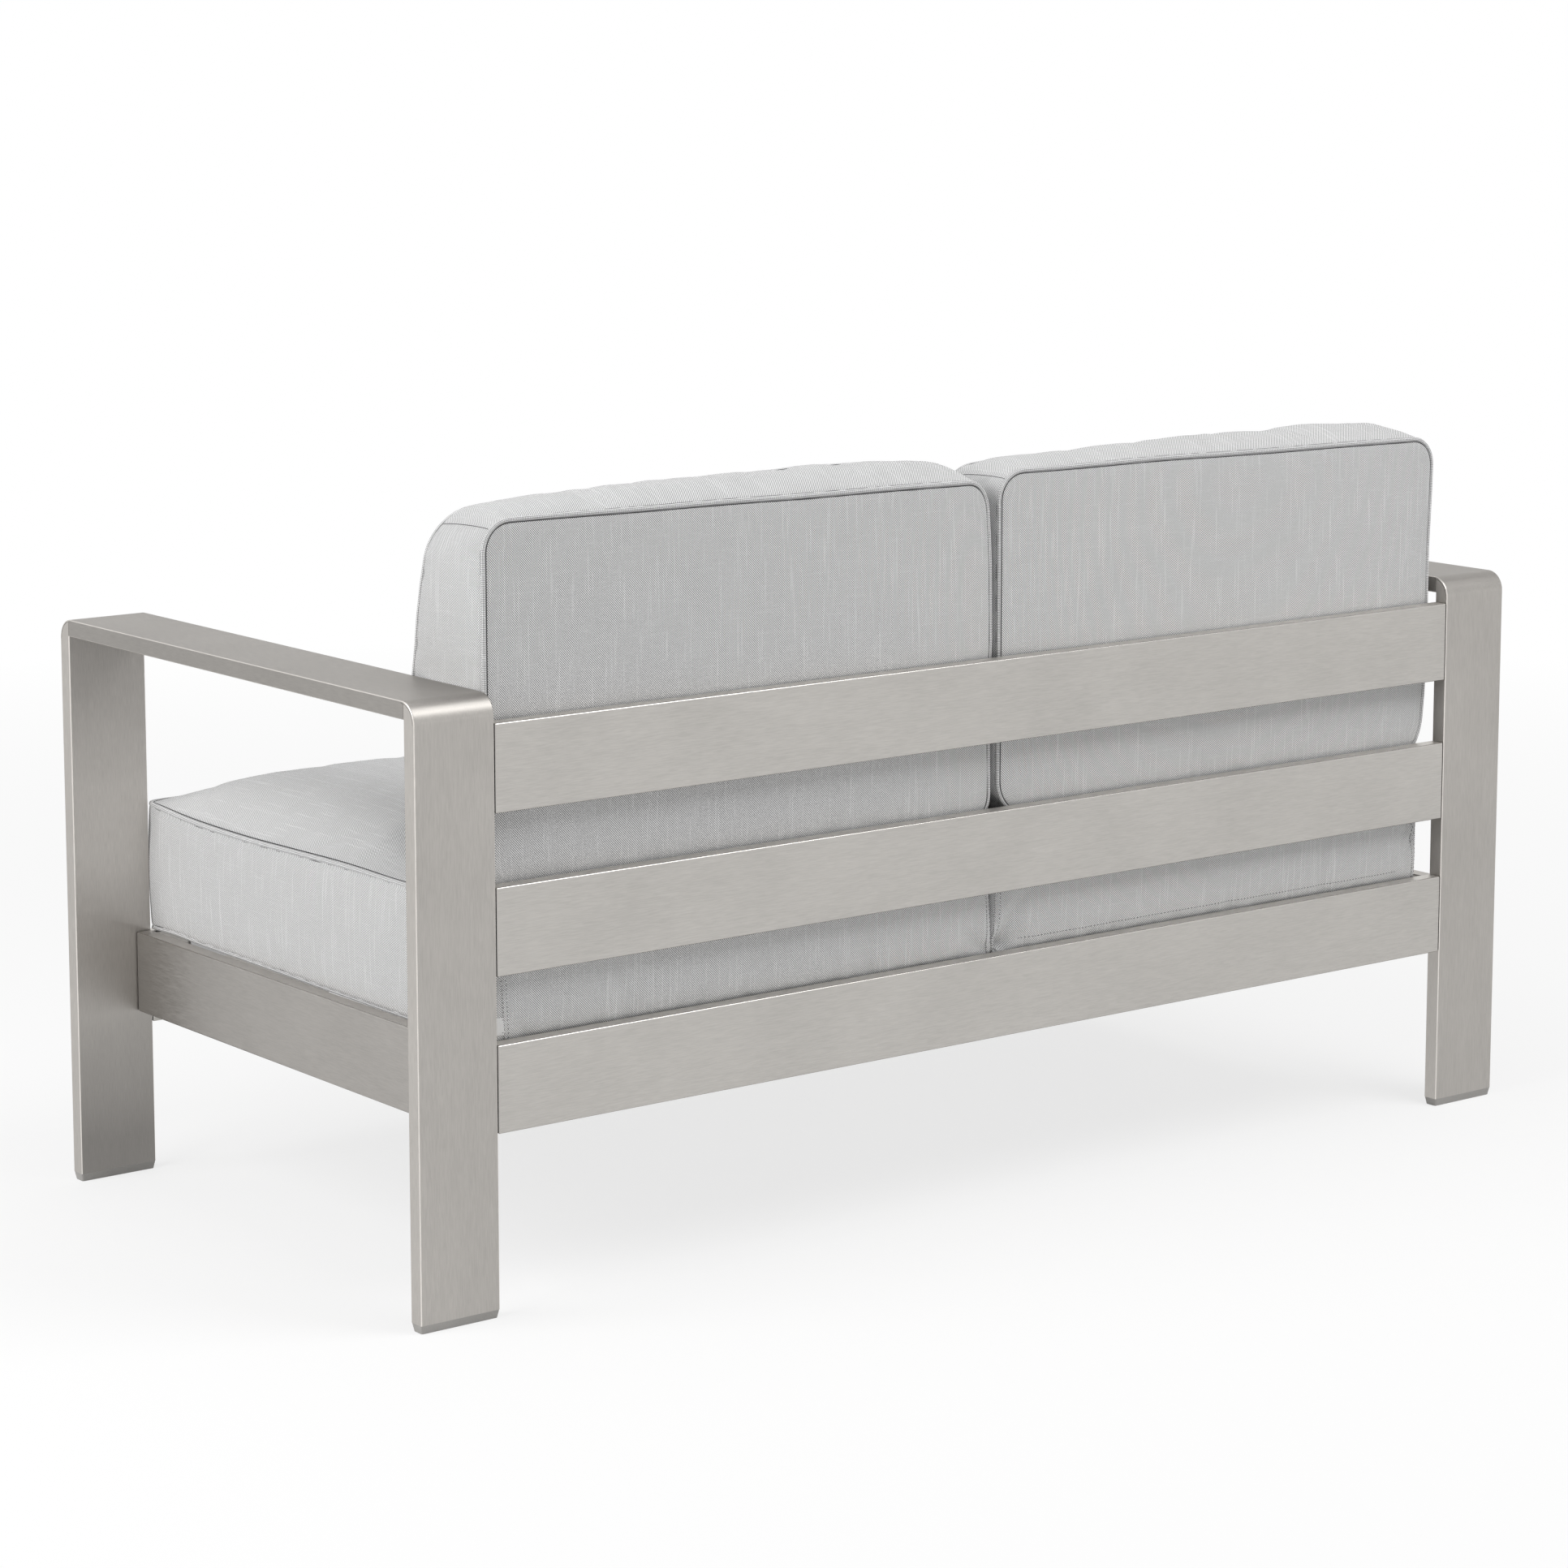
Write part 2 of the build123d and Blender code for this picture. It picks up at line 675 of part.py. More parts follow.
def build_cushions():
    """Every piece of the four cushions, by name."""
    pieces = {}
    left_seat = seat_cushion(left_zip_share)
    right_seat = seat_cushion(right_zip_share)
    back = back_cushion()
    for part_name in left_seat:
        pieces["left_seat_" + part_name] = left_seat[part_name]
        pieces["right_seat_" + part_name] = mirrored(right_seat[part_name])
        pieces["left_back_" + part_name] = back[part_name]
        pieces["right_back_" + part_name] = mirrored(back[part_name])
    return pieces


def write_parts():
    """One file for each named piece."""
    os.makedirs("parts", exist_ok=True)
    pieces = build_frame()
    pieces.update(build_cushions())
    for name, piece in pieces.items():
        export_step(piece, "parts/" + name + ".step")
    print(len(pieces), "pieces written")


write_parts()
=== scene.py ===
import json
import math

import bmesh
import bpy
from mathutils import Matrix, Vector, noise


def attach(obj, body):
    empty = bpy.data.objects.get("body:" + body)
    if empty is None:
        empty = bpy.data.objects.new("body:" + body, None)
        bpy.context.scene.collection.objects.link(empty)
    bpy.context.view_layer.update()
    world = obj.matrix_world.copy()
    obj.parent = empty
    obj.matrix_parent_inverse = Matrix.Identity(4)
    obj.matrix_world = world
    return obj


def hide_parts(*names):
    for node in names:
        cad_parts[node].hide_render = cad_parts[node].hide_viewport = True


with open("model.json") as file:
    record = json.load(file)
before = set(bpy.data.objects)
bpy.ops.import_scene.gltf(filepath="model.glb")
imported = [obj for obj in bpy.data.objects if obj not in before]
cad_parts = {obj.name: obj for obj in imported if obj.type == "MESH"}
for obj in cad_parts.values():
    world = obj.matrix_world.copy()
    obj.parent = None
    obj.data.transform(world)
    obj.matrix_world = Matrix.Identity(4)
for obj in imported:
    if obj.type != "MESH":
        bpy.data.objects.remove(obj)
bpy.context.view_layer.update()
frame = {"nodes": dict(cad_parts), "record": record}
scene = bpy.context.scene
scene.view_settings.view_transform = "Standard"
print("frame loaded")


# Camera, behind the sofa and to its left

cameraSetup = {
    "place": (2.7593, 3.5360, 1.2265),
    "azimuth": 142.355,
    "elevation": 8.616,
    "lens": 99.53,
    "shift": -0.1,
    "clip": (0.05, 100),
}


def outward(azimuth, elevation):
    a, e = math.radians(azimuth), math.radians(elevation)
    return Vector((math.sin(a) * math.cos(e), -math.cos(a) * math.cos(e), math.sin(e)))


def addCamera(setup):
    lens = bpy.data.cameras.new("camera")
    lens.lens = setup["lens"]
    lens.shift_y = setup["shift"]
    lens.clip_start, lens.clip_end = setup["clip"]
    eye = bpy.data.objects.new("camera", lens)
    eye.location = setup["place"]
    eye.rotation_mode = "QUATERNION"
    back = outward(setup["azimuth"], setup["elevation"])
    eye.rotation_quaternion = (-back).to_track_quat("-Z", "Y")
    scene.collection.objects.link(eye)
    scene.camera = eye


addCamera(cameraSetup)


# Node helpers

def newMaterial(name):
    material = bpy.data.materials.new(name)
    material.use_nodes = True
    tree = material.node_tree
    return material, tree, tree.nodes["Principled BSDF"]


def addNode(tree, kind, inputs=None, **settings):
    made = tree.nodes.new("ShaderNode" + kind)
    for name, value in settings.items():
        setattr(made, name, value)
    for key, value in (inputs or {}).items():
        if isinstance(value, bpy.types.NodeSocket):
            tree.links.new(value, made.inputs[key])
        else:
            made.inputs[key].default_value = value
    return made


def calc(tree, operation, *values):
    return addNode(tree, "Math", dict(enumerate(values)), operation=operation).outputs[0]


def remap(tree, value, low, high, toLow, toHigh):
    inputs = {0: value, 1: low, 2: high, 3: toLow, 4: toHigh}
    return addNode(tree, "MapRange", inputs).outputs[0]


def noiseValue(tree, vector, scale, detail=2.0, roughness=0.5):
    inputs = {"Vector": vector, "Scale": scale, "Detail": detail, "Roughness": roughness}
    return addNode(tree, "TexNoise", inputs).outputs["Fac"]


def spread(tree, value, reach, middle=0.0):
    # a noise value stretched to both sides of a middle tone
    return remap(tree, value, 0.3, 0.7, middle - reach, middle + reach)


def tint(tree, color, factor):
    # a colour made lighter or darker by a factor round 1
    even = addNode(tree, "CombineXYZ", {0: factor, 1: factor, 2: factor}).outputs[0]
    return addNode(tree, "VectorMath", {0: color, 1: even}, operation="MULTIPLY").outputs[0]


# Brushed aluminium: fine lines along each tube, broad soft bands, a faint blotch, with painted
# highlights on edges and tops and painted light and shade on some faces

brushing = {
    "roughness": 0.42,
    "roughSpread": 0.07,
    "linesPerMetre": 1500.0,
    "alongPerMetre": 80.0,
    "bandsPerMetre": 170.0,
    "bandStretch": 0.25,
    "blotchesPerMetre": 9.0,
    "lineTone": 0.075,
    "bandTone": 0.014,
    "blotchTone": 0.03,
    "grazing": 0.62,  # share of the reflection that is left at a grazing look
    # painted highlight: colour factors for the rounded edges of the arms, the rails and the side rails,
    # in place of the lamps' reflection along them
    "edgeHighlight": 1.75,
    "railEdgeHighlight": 0.95,
    "sideEdgeHighlight": 1.0,
    "edgeRoughness": 0.24,
    # painted light and shade on the arms: the post sides lighter, the armrest sides darker, the fold
    # darker to damp its highlight
    "postSideHighlight": 1.2,
    "armSideShade": 0.82,
    "foldShade": 0.64,
    # painted highlight: the level tops of the rails lighter
    "topHighlight": 1.6,
    "endShade": 0.15,  # painted shade: the cut ends of the rails are darkened, as they lie in deep shade
    "legShading": (0.57, 1.44),  # painted reflection: the inner face of the front legs darker low and lighter high, at the two heights, for the shaded floor under the sofa that it mirrors
    "legHeights": (0.04, 0.33),
    # parts of the normal between which a face turns flat, level, into an edge or into the fold
    "flatRange": (0.9, 0.97),
    "levelRange": (0.985, 0.998),
    "armEdgeRange": (0.15, 0.4),
    "railEdgeRange": (0.985, 0.93),
    "foldRange": (0.1, 0.6),
    "bump": 0.12,
    "bumpDepth": 0.00012,
    "foldOffset": 0.255,  # where |y| - z changes from post to armrest
    "postInner": 0.3098,  # |y| of the inner face of the posts
}


def brushLines(tree, place, along, setup):
    # fine lines and broad bands, both drawn out along one direction
    made = []
    for across, stretch, detail in ((setup["linesPerMetre"], 1.0, 2.0),
                                    (setup["bandsPerMetre"], setup["bandStretch"], 3.0)):
        scales = [across] * 3
        scales[along] = setup["alongPerMetre"] * stretch
        inputs = {0: place, 1: tuple(scales)}
        drawn = addNode(tree, "VectorMath", inputs, operation="MULTIPLY").outputs[0]
        made.append(noiseValue(tree, drawn, 1.0, detail))
    return made


def faceParts(tree, normal):
    # sizes of the normal's parts, to tell broad faces, narrow faces and rounded edges apart
    split = addNode(tree, "SeparateXYZ", {0: normal})
    return [calc(tree, "ABSOLUTE", output) for output in split.outputs] + split.outputs[1:]


def armTones(tree, place, faces, setup):
    # a folded arm: its brush lines, its edges with a painted highlight, and painted light and shade on
    # each face
    faceX, faceY, faceZ, rearward, upward = faces
    flatFrom, flatTo = setup["flatRange"]
    split = addNode(tree, "SeparateXYZ", {0: place})
    reach = calc(tree, "ABSOLUTE", split.outputs[1])
    lean = calc(tree, "SUBTRACT", reach, split.outputs[2])
    onPost = calc(tree, "GREATER_THAN", lean, -setup["foldOffset"])
    lines = zip(brushLines(tree, place, 1, setup), brushLines(tree, place, 2, setup))
    fine, broad = [addNode(tree, "Mix", {0: onPost, 2: arm, 3: post}).outputs[0] for arm, post in lines]
    edge = calc(tree, "MULTIPLY", remap(tree, faceX, *setup["armEdgeRange"], 0, 1),
                remap(tree, faceX, flatTo, flatFrom, 0, 1))
    # painted light: the post's side strip lighter and the armrest's side darker
    pastSeam = calc(tree, "GREATER_THAN", reach, setup["postInner"])
    paintedSideTone = remap(tree, pastSeam, 0, 1, setup["armSideShade"], setup["postSideHighlight"])
    # painted shade: the fold darkened to damp its highlight
    folding = calc(tree, "MINIMUM", faceY, faceZ)
    foldShade = remap(tree, folding, *setup["foldRange"], 1.0, setup["foldShade"])
    onSide = remap(tree, faceX, flatFrom, flatTo, 0, 1)
    paintedFaceTone = addNode(tree, "Mix", {0: onSide, 2: foldShade, 3: paintedSideTone}).outputs[0]
    # painted reflection: the inner face of the front legs darker low and lighter high
    onLeg = calc(tree, "MULTIPLY", remap(tree, rearward, flatFrom, flatTo, 0, 1),
                 calc(tree, "LESS_THAN", split.outputs[1], 0.0))
    paintedLegTone = remap(tree, split.outputs[2], *setup["legHeights"], *setup["legShading"])
    paintedFaceTone = addNode(tree, "Mix", {0: onLeg, 2: paintedFaceTone, 3: paintedLegTone}).outputs[0]
    return fine, broad, edge, setup["edgeHighlight"], paintedFaceTone


def railTones(tree, place, faces, along, setup):
    # a straight tube: its brush lines, its rounded edges with a painted highlight, a painted highlight
    # on its top and painted shade on its cut ends
    faceX, faceY, faceZ, rearward, upward = faces
    fine, broad = brushLines(tree, place, "xyz".index(along), setup)
    widest = calc(tree, "MAXIMUM", calc(tree, "MAXIMUM", faceX, faceY), faceZ)
    edge = remap(tree, widest, *setup["railEdgeRange"], 0, 1)
    # painted highlight: level tops lighter
    paintedFaceTone = remap(tree, upward, *setup["levelRange"], 1.0, setup["topHighlight"])
    # painted shade: the cut ends darkened
    if along == "x":
        atEnd = remap(tree, faceX, *setup["flatRange"], 1.0, setup["endShade"])
        paintedFaceTone = calc(tree, "MULTIPLY", paintedFaceTone, atEnd)
    return fine, broad, edge, setup["railEdgeHighlight" if along == "x" else "sideEdgeHighlight"], paintedFaceTone


def brushedMaterial(name, along, setup, color, roughness=None):
    material, tree, shader = newMaterial(name)
    surface = addNode(tree, "TexCoord").outputs
    place, faces = surface["Object"], faceParts(tree, surface["Normal"])
    if along == "folded":
        fine, broad, edge, brightest, paintedFaceTone = armTones(tree, place, faces, setup)
    else:
        fine, broad, edge, brightest, paintedFaceTone = railTones(tree, place, faces, along, setup)
    # painted highlight: the rounded edges take a colour factor
    edgeHighlight = remap(tree, edge, 0, 1, 1.0, brightest)
    blotch = noiseValue(tree, place, setup["blotchesPerMetre"])
    tone = calc(tree, "ADD", spread(tree, fine, setup["lineTone"]),
                spread(tree, broad, setup["bandTone"]))
    tone = calc(tree, "ADD", tone, spread(tree, blotch, setup["blotchTone"], 1.0))
    tone = calc(tree, "MULTIPLY", calc(tree, "MULTIPLY", tone, edgeHighlight), paintedFaceTone)
    tree.links.new(tint(tree, color, tone), shader.inputs["Base Color"])
    rough, either = roughness or setup["roughness"], setup["roughSpread"]
    brushedRough = remap(tree, fine, 0.25, 0.75, rough - either, rough + either)
    smoothed = addNode(tree, "Mix", {0: edge, 2: brushedRough, 3: setup["edgeRoughness"]}).outputs[0]
    tree.links.new(smoothed, shader.inputs["Roughness"])
    inputs = {"Strength": setup["bump"], "Distance": setup["bumpDepth"], "Height": fine}
    tree.links.new(addNode(tree, "Bump", inputs).outputs[0], shader.inputs["Normal"])
    shader.inputs["Metallic"].default_value = 1.0
    shader.inputs["Specular Tint"].default_value = (*[setup["grazing"]] * 3, 1.0)
    return material


# Moulded plastic and small metal pieces

grain = {
    "broadPerMetre": 14.0,
    "tone": 0.06,
    "roughSpread": 0.08,
    "bump": 0.25,
    "bumpDepth": 0.0001,
}


def grainMaterial(name, color, roughness, metallic=0.0, finePerMetre=900.0):
    material, tree, shader = newMaterial(name)
    place = addNode(tree, "TexCoord").outputs["Object"]
    fine = noiseValue(tree, place, finePerMetre, 3.0, 0.6)
    broad = noiseValue(tree, place, grain["broadPerMetre"])
    factor = calc(tree, "ADD", spread(tree, fine, grain["tone"]),
                  spread(tree, broad, grain["tone"], 1.0))
    tree.links.new(tint(tree, color, factor), shader.inputs["Base Color"])
    either = grain["roughSpread"]
    rough = remap(tree, fine, 0.2, 0.8, roughness - either, roughness + either)
    tree.links.new(rough, shader.inputs["Roughness"])
    inputs = {"Strength": grain["bump"], "Distance": grain["bumpDepth"], "Height": fine}
    tree.links.new(addNode(tree, "Bump", inputs).outputs[0], shader.inputs["Normal"])
    shader.inputs["Metallic"].default_value = metallic
    return material


# Woven fabric: basket weave with dark holes between the threads, pale slubs along the warp

weave = {
    "color": (0.572, 0.572, 0.574),
    "pitch": 0.00115,
    "hole": 0.2,
    "contrast": 0.64,
    "brightest": 1.72,
    "sharpness": 2.2,
    "slub": 0.18, "slubRange": (0.6, 0.74), "slubsPerMetre": 15.0,
    "weftSlub": 0.05, "weftSlubRange": (0.55, 0.75), "weftSlubsPerMetre": 30.0,
    "warpSeed": (7.31, 3.7), "weftSeed": (5.77, 9.1),  # step from thread to thread, start
    "slubRise": 1.5,
    "blotch": 0.012,
    "blotchesPerMetre": 16.0,
    "bump": 0.45,
    "bumpDepth": 0.00035,
    "roughness": 0.92,
    "specular": 0.25,
    "sheen": 0.12,
    "sheenRoughness": 0.5,
}


def fabricMaterial(name, setup):
    material, tree, shader = newMaterial(name)
    flat = addNode(tree, "UVMap", uv_map="weave").outputs[0]
    split = addNode(tree, "SeparateXYZ", {0: flat})
    across, along = split.outputs[0], split.outputs[1]
    turn = math.pi / setup["pitch"]
    waveA = calc(tree, "SINE", calc(tree, "MULTIPLY", across, turn))
    waveB = calc(tree, "SINE", calc(tree, "MULTIPLY", along, turn))
    checks = calc(tree, "MULTIPLY", waveA, waveB)
    openA = calc(tree, "SUBTRACT", 1.0, calc(tree, "ABSOLUTE", waveA))
    openB = calc(tree, "SUBTRACT", 1.0, calc(tree, "ABSOLUTE", waveB))
    cells = remap(tree, checks, -1 / setup["sharpness"], 1 / setup["sharpness"],
                  -setup["contrast"], setup["contrast"])
    holes = calc(tree, "MULTIPLY", openA, openB)
    warp = calc(tree, "FLOOR", calc(tree, "DIVIDE", across, setup["pitch"]))
    weft = calc(tree, "FLOOR", calc(tree, "DIVIDE", along, setup["pitch"]))
    warpStep, warpStart = setup["warpSeed"]
    weftStep, weftStart = setup["weftSeed"]
    warpPlace = addNode(tree, "CombineXYZ", {
        0: calc(tree, "MULTIPLY", warp, warpStep),
        1: calc(tree, "MULTIPLY", along, setup["slubsPerMetre"]), 2: warpStart}).outputs[0]
    weftPlace = addNode(tree, "CombineXYZ", {
        0: calc(tree, "MULTIPLY", across, setup["weftSlubsPerMetre"]),
        1: calc(tree, "MULTIPLY", weft, weftStep), 2: weftStart}).outputs[0]
    slub = remap(tree, noiseValue(tree, warpPlace, 1.0, 1.0), *setup["slubRange"], 0.0, setup["slub"])
    weftSlub = remap(tree, noiseValue(tree, weftPlace, 1.0, 1.0), *setup["weftSlubRange"],
                     0.0, setup["weftSlub"])
    blotch = spread(tree, noiseValue(tree, flat, setup["blotchesPerMetre"], 3.0), setup["blotch"], 1.0)
    tone = calc(tree, "ADD", calc(tree, "ADD", cells, blotch), calc(tree, "ADD", slub, weftSlub))
    tone = calc(tree, "SUBTRACT", tone, calc(tree, "MULTIPLY", holes, setup["hole"]))
    tone = calc(tree, "MINIMUM", tone, setup["brightest"])
    tree.links.new(tint(tree, setup["color"], tone), shader.inputs["Base Color"])
    raised = calc(tree, "MULTIPLY", slub, setup["slubRise"])
    height = calc(tree, "ADD", calc(tree, "ABSOLUTE", checks), raised)
    inputs = {"Strength": setup["bump"], "Distance": setup["bumpDepth"], "Height": height}
    tree.links.new(addNode(tree, "Bump", inputs).outputs[0], shader.inputs["Normal"])
    shader.inputs["Roughness"].default_value = setup["roughness"]
    shader.inputs["Specular IOR Level"].default_value = setup["specular"]
    shader.inputs["Sheen Weight"].default_value = setup["sheen"]
    shader.inputs["Sheen Roughness"].default_value = setup["sheenRoughness"]
    return material


materials = {
    # painted light: the one brushed aluminium gets a lighter colour on the rails and darker ones on the
    # arms and side rails, standing in for how each brushing direction catches the light
    "folded": brushedMaterial("brushedArm", "folded", brushing, (0.435, 0.416, 0.393)),
    "rail": brushedMaterial("brushedRail", "x", brushing, (0.495, 0.478, 0.453)),
    "sideRail": brushedMaterial("brushedSideRail", "y", brushing, (0.425, 0.407, 0.386)),
    "slat": brushedMaterial("slatAluminium", "y", brushing, (0.52, 0.51, 0.5), 0.5),
    "plain": grainMaterial("millAluminium", (0.58, 0.58, 0.58), 0.5, 1.0, 300.0),
    "screw": grainMaterial("screwSteel", (0.5, 0.5, 0.51), 0.35, 1.0, 600.0),
    "foot": grainMaterial("footPlastic", (0.36, 0.35, 0.335), 0.55),
    "plug": grainMaterial("plugPlastic", (0.09, 0.09, 0.092), 0.5),
    "zip": grainMaterial("zipCoil", (0.35, 0.35, 0.36), 0.5),
    "foam": grainMaterial("cushionFoam", (0.78, 0.75, 0.66), 0.95),
    "slider": grainMaterial("zipSlider", (0.3, 0.3, 0.31), 0.35, 1.0),
    "fabric": fabricMaterial("outdoorFabric", weave),
    # painted shade: a near-black material for thin tubes laid where a seam's crease lies in shadow
    "crease": grainMaterial("seamCreaseShade", (0.045, 0.045, 0.047), 0.9),
    "thread": grainMaterial("sewingThread", (0.17, 0.17, 0.175), 0.8),
    "tag": grainMaterial("sewnTag", (0.74, 0.74, 0.74), 0.7, 0.0, 1500.0),
}

slotMaterials = {
    "brushed_frame": "folded",
    "brushed_rail": "rail",
    "slat_aluminium": "slat",
    "plain_aluminium": "plain",
    "screw_steel": "screw",
    "foot_plastic": "foot",
    "plug_plastic": "plug",
    "cushion_fabric": "fabric",
    "foam": "foam",
    "zip_plastic": "zip",
    "zip_metal": "slider",
}


def dressFrame():
    for part in frame["record"]["subparts"]:
        name = part["node"]
        kind = "sideRail" if name.endswith("side_rail") else slotMaterials[part["material_slot"]]
        mesh = frame["nodes"][name].data
        mesh.materials.clear()
        mesh.materials.append(materials[kind])


dressFrame()
print("frame dressed")


# Cushions. Each starts as a flat box of (a, b, h): a runs across the sofa from its middle outwards,
# b along the panel (seat: front to back, back cushion: upwards), h through the thickness.
# A level is the share of the thickness, from the underside of a seat or the rear face of a back.

seatCushion = {
    "width": 0.607, "length": 0.626, "thickness": 0.130,
    "lowCorners": (0.012, 0.010), "cornerHigh": 0.0045, "frontCorners": (0.012, 0.012),
    "middle": 0.3075, "rear": 0.306, "bottom": 0.2503,
    "crown": 0.031,
    # under the back cushion the top is pressed flat, from here to there along y
    "pressedCrown": 0.011, "pressedPower": 30,
    "pressStart": 0.068, "pressSoft": 0.02, "pressEnd": 0.1495,
    "bulge": 0.0022,
    "shiftRange": (-0.1, 0.31),  # along b, where a side starts and ends to move to its rear place
    "dipRange": (0.15, 0.29),    # along a, where a dip of the outer edge starts and ends to grow
    "edgeFade": 0.03, "hemFade": 0.009,
    "wavesPerMetre": 7, "waveTurn": 0.8,
}

backCushion = {
    "width": 0.607, "length": 0.342, "thickness": 0.100,
    "lowCorners": (0.030, 0.030), "cornerHigh": 0.030, "frontCorners": (0.030, 0.045),
    "middle": 0.3075, "rear": 0.306, "bottom": 0.3916,
    "frontRise": 0.0035, "topCrown": 0.010, "crown": 0.030, "rearCrown": 0.002,
    "bulge": 0.0022, "endSag": 0.005, "sagRange": 0.3, "frontTaper": 0.010,
    "crownSlope": (1.05, 0.25),  # more crown at the foot of the panel than at its top
    "wavesPerMetre": 6, "waveGain": 1.5,
    # height share of the front edge, and how far it lies in front of the rear face
    "depths": ((0.0, 0.129), (0.07, 0.134), (0.35, 0.134), (0.52, 0.126), (0.63, 0.119), (0.714, 0.115),
               (0.796, 0.109), (0.878, 0.1015), (0.92, 0.097), (1.0, 0.088)),
}

sewing = {
    "pipingRadius": 0.0021, "pipingSink": 0.0004,
    # painted shade: the crease line is a near-black tube on the panel beside the piping
    "creaseRadius": 0.0005, "creaseInset": 0.0043, "creaseSink": 0.0006,
    # the thread line on the boxing side: a real stitch line, drawn dark grey as partly painted shade of
    # the seam's crease
    "threadRadius": 0.0003, "threadInset": 0.0042, "threadSink": 0.0009,
    "pathStep": 0.006, "probe": 0.004,
    "seamSink": 0.0034, "onSeam": 0.001,
    "besideSink": 0.0011, "besideSeam": 0.003,
    "loops": (0.0022, 0.0055, 0.0105),
    "spacing": 0.0105,
    "cornerSpacing": 0.0075, "cornerReach": 1.4,
    "puckerHeight": 0.0004, "puckersPerMetre": 38.0, "boxingShare": 0.6,
    "puckerStart": 0.004, "puckerReach": 0.020,
    "gatherStart": 0.009, "gatherReach": 0.022,
    "gateShare": 0.35, "gatesPerMetre": 6,  # runs of seam with fewer puckers
    "softHeight": 0.0008, "softPerMetre": 9, "softReach": 0.03,
    "wander": 0.0009,
}


def crownShare(share):
    return 1 - abs(share) ** 8


def smooth(value, low, high):
    t = min(max((value - low) / (high - low), 0.0), 1.0)
    return t * t * (3 - 2 * t)


def bell(value, middle, width):
    return math.exp(-((value - middle) / width) ** 2)


def between(table, value):
    for (low, start), (high, end) in zip(table, table[1:]):
        if value <= high:
            return start + (end - start) * (value - low) / (high - low)
    return table[-1][1]


def cornerRadius(a, b, level, setup):
    if b < 0:
        return setup["lowCorners"][a > 0]
    return setup["cornerHigh"] + (setup["frontCorners"][a > 0] - setup["cornerHigh"]) * level


def roundedPlan(a, b, level, setup):
    radius = cornerRadius(a, b, level, setup)
    coreA, coreB = setup["width"] / 2 - radius, setup["length"] / 2 - radius
    overA, overB = abs(a) - coreA, abs(b) - coreB
    if overA > 0 and overB > 0:
        scale = max(overA, overB) / math.hypot(overA, overB)
        overA, overB = overA * scale, overB * scale
    return math.copysign(coreA + overA, a), math.copysign(coreB + overB, b)


def edgeDirection(a, b, level, setup):
    # how far a point of the boxing faces a and b; zero inside a panel
    halfA, halfB = setup["width"] / 2, setup["length"] / 2
    radius = cornerRadius(a, b, level, setup)
    if abs(a) < halfA - 1e-6 and abs(b) < halfB - 1e-6:
        return 0.0, 0.0
    overA, overB = abs(a) - (halfA - radius), abs(b) - (halfB - radius)
    if overA > 0 and overB > 0:
        size = math.hypot(overA, overB)
        return math.copysign(overA / size, a), math.copysign(overB / size, b)
    if abs(a) >= halfA - 1e-6:
        return math.copysign(1.0, a), 0.0
    return 0.0, math.copysign(1.0, b)


def seatPoint(a, b, h, setup, habit):
    # a and b from the middle of the cushion, h up from its underside
    level = h / setup["thickness"]
    planA, planB = roundedPlan(a, b, level, setup)
    faceA, faceB = edgeDirection(a, b, level, setup)
    swell = setup["bulge"] * 4 * level * (1 - level)
    planA, planB = planA + faceA * swell, planB + faceB * swell
    shift = habit["rearShift"][a > 0] + habit["rearLean"][a > 0] * level
    planA += shift * abs(2 * planA / setup["width"]) * smooth(planB, *setup["shiftRange"])
    y = setup["rear"] - setup["length"] / 2 + planB
    shareA, shareB = 2 * planA / setup["width"], 2 * planB / setup["length"]
    pressed = smooth(y, setup["pressStart"] - setup["pressSoft"], setup["pressEnd"])
    free = setup["crown"] * crownShare(min(abs(shareB), 1.0))
    held = setup["pressedCrown"] * (1 - max(0.0, shareB) ** setup["pressedPower"])
    crown = (free * (1 - pressed) + held * pressed) * crownShare(min(abs(shareA), 1.0))
    inland = max(0.0, min(setup["width"] / 2 - abs(a), setup["length"] / 2 - abs(b)))
    nearEdge = math.exp(-inland / setup["edgeFade"])
    nearHem = math.exp(-inland / setup["hemFade"])
    z = setup["bottom"] + h + crown * level ** 3
    for where, width, lift, onTop in habit["dips"]:
        reach = level ** 2 * nearEdge if onTop else (1 - level) ** 2 * nearHem
        z += lift * bell(y, where, width) * smooth(a, *setup["dipRange"]) * reach
    rate = setup["wavesPerMetre"]
    wave = noise.noise(Vector((a * rate, b * rate, habit["seed"] + level * setup["waveTurn"])))
    z += sewing["wander"] * wave * level * 2 * nearEdge
    return Vector((habit["side"] * (setup["middle"] + planA), y, z))


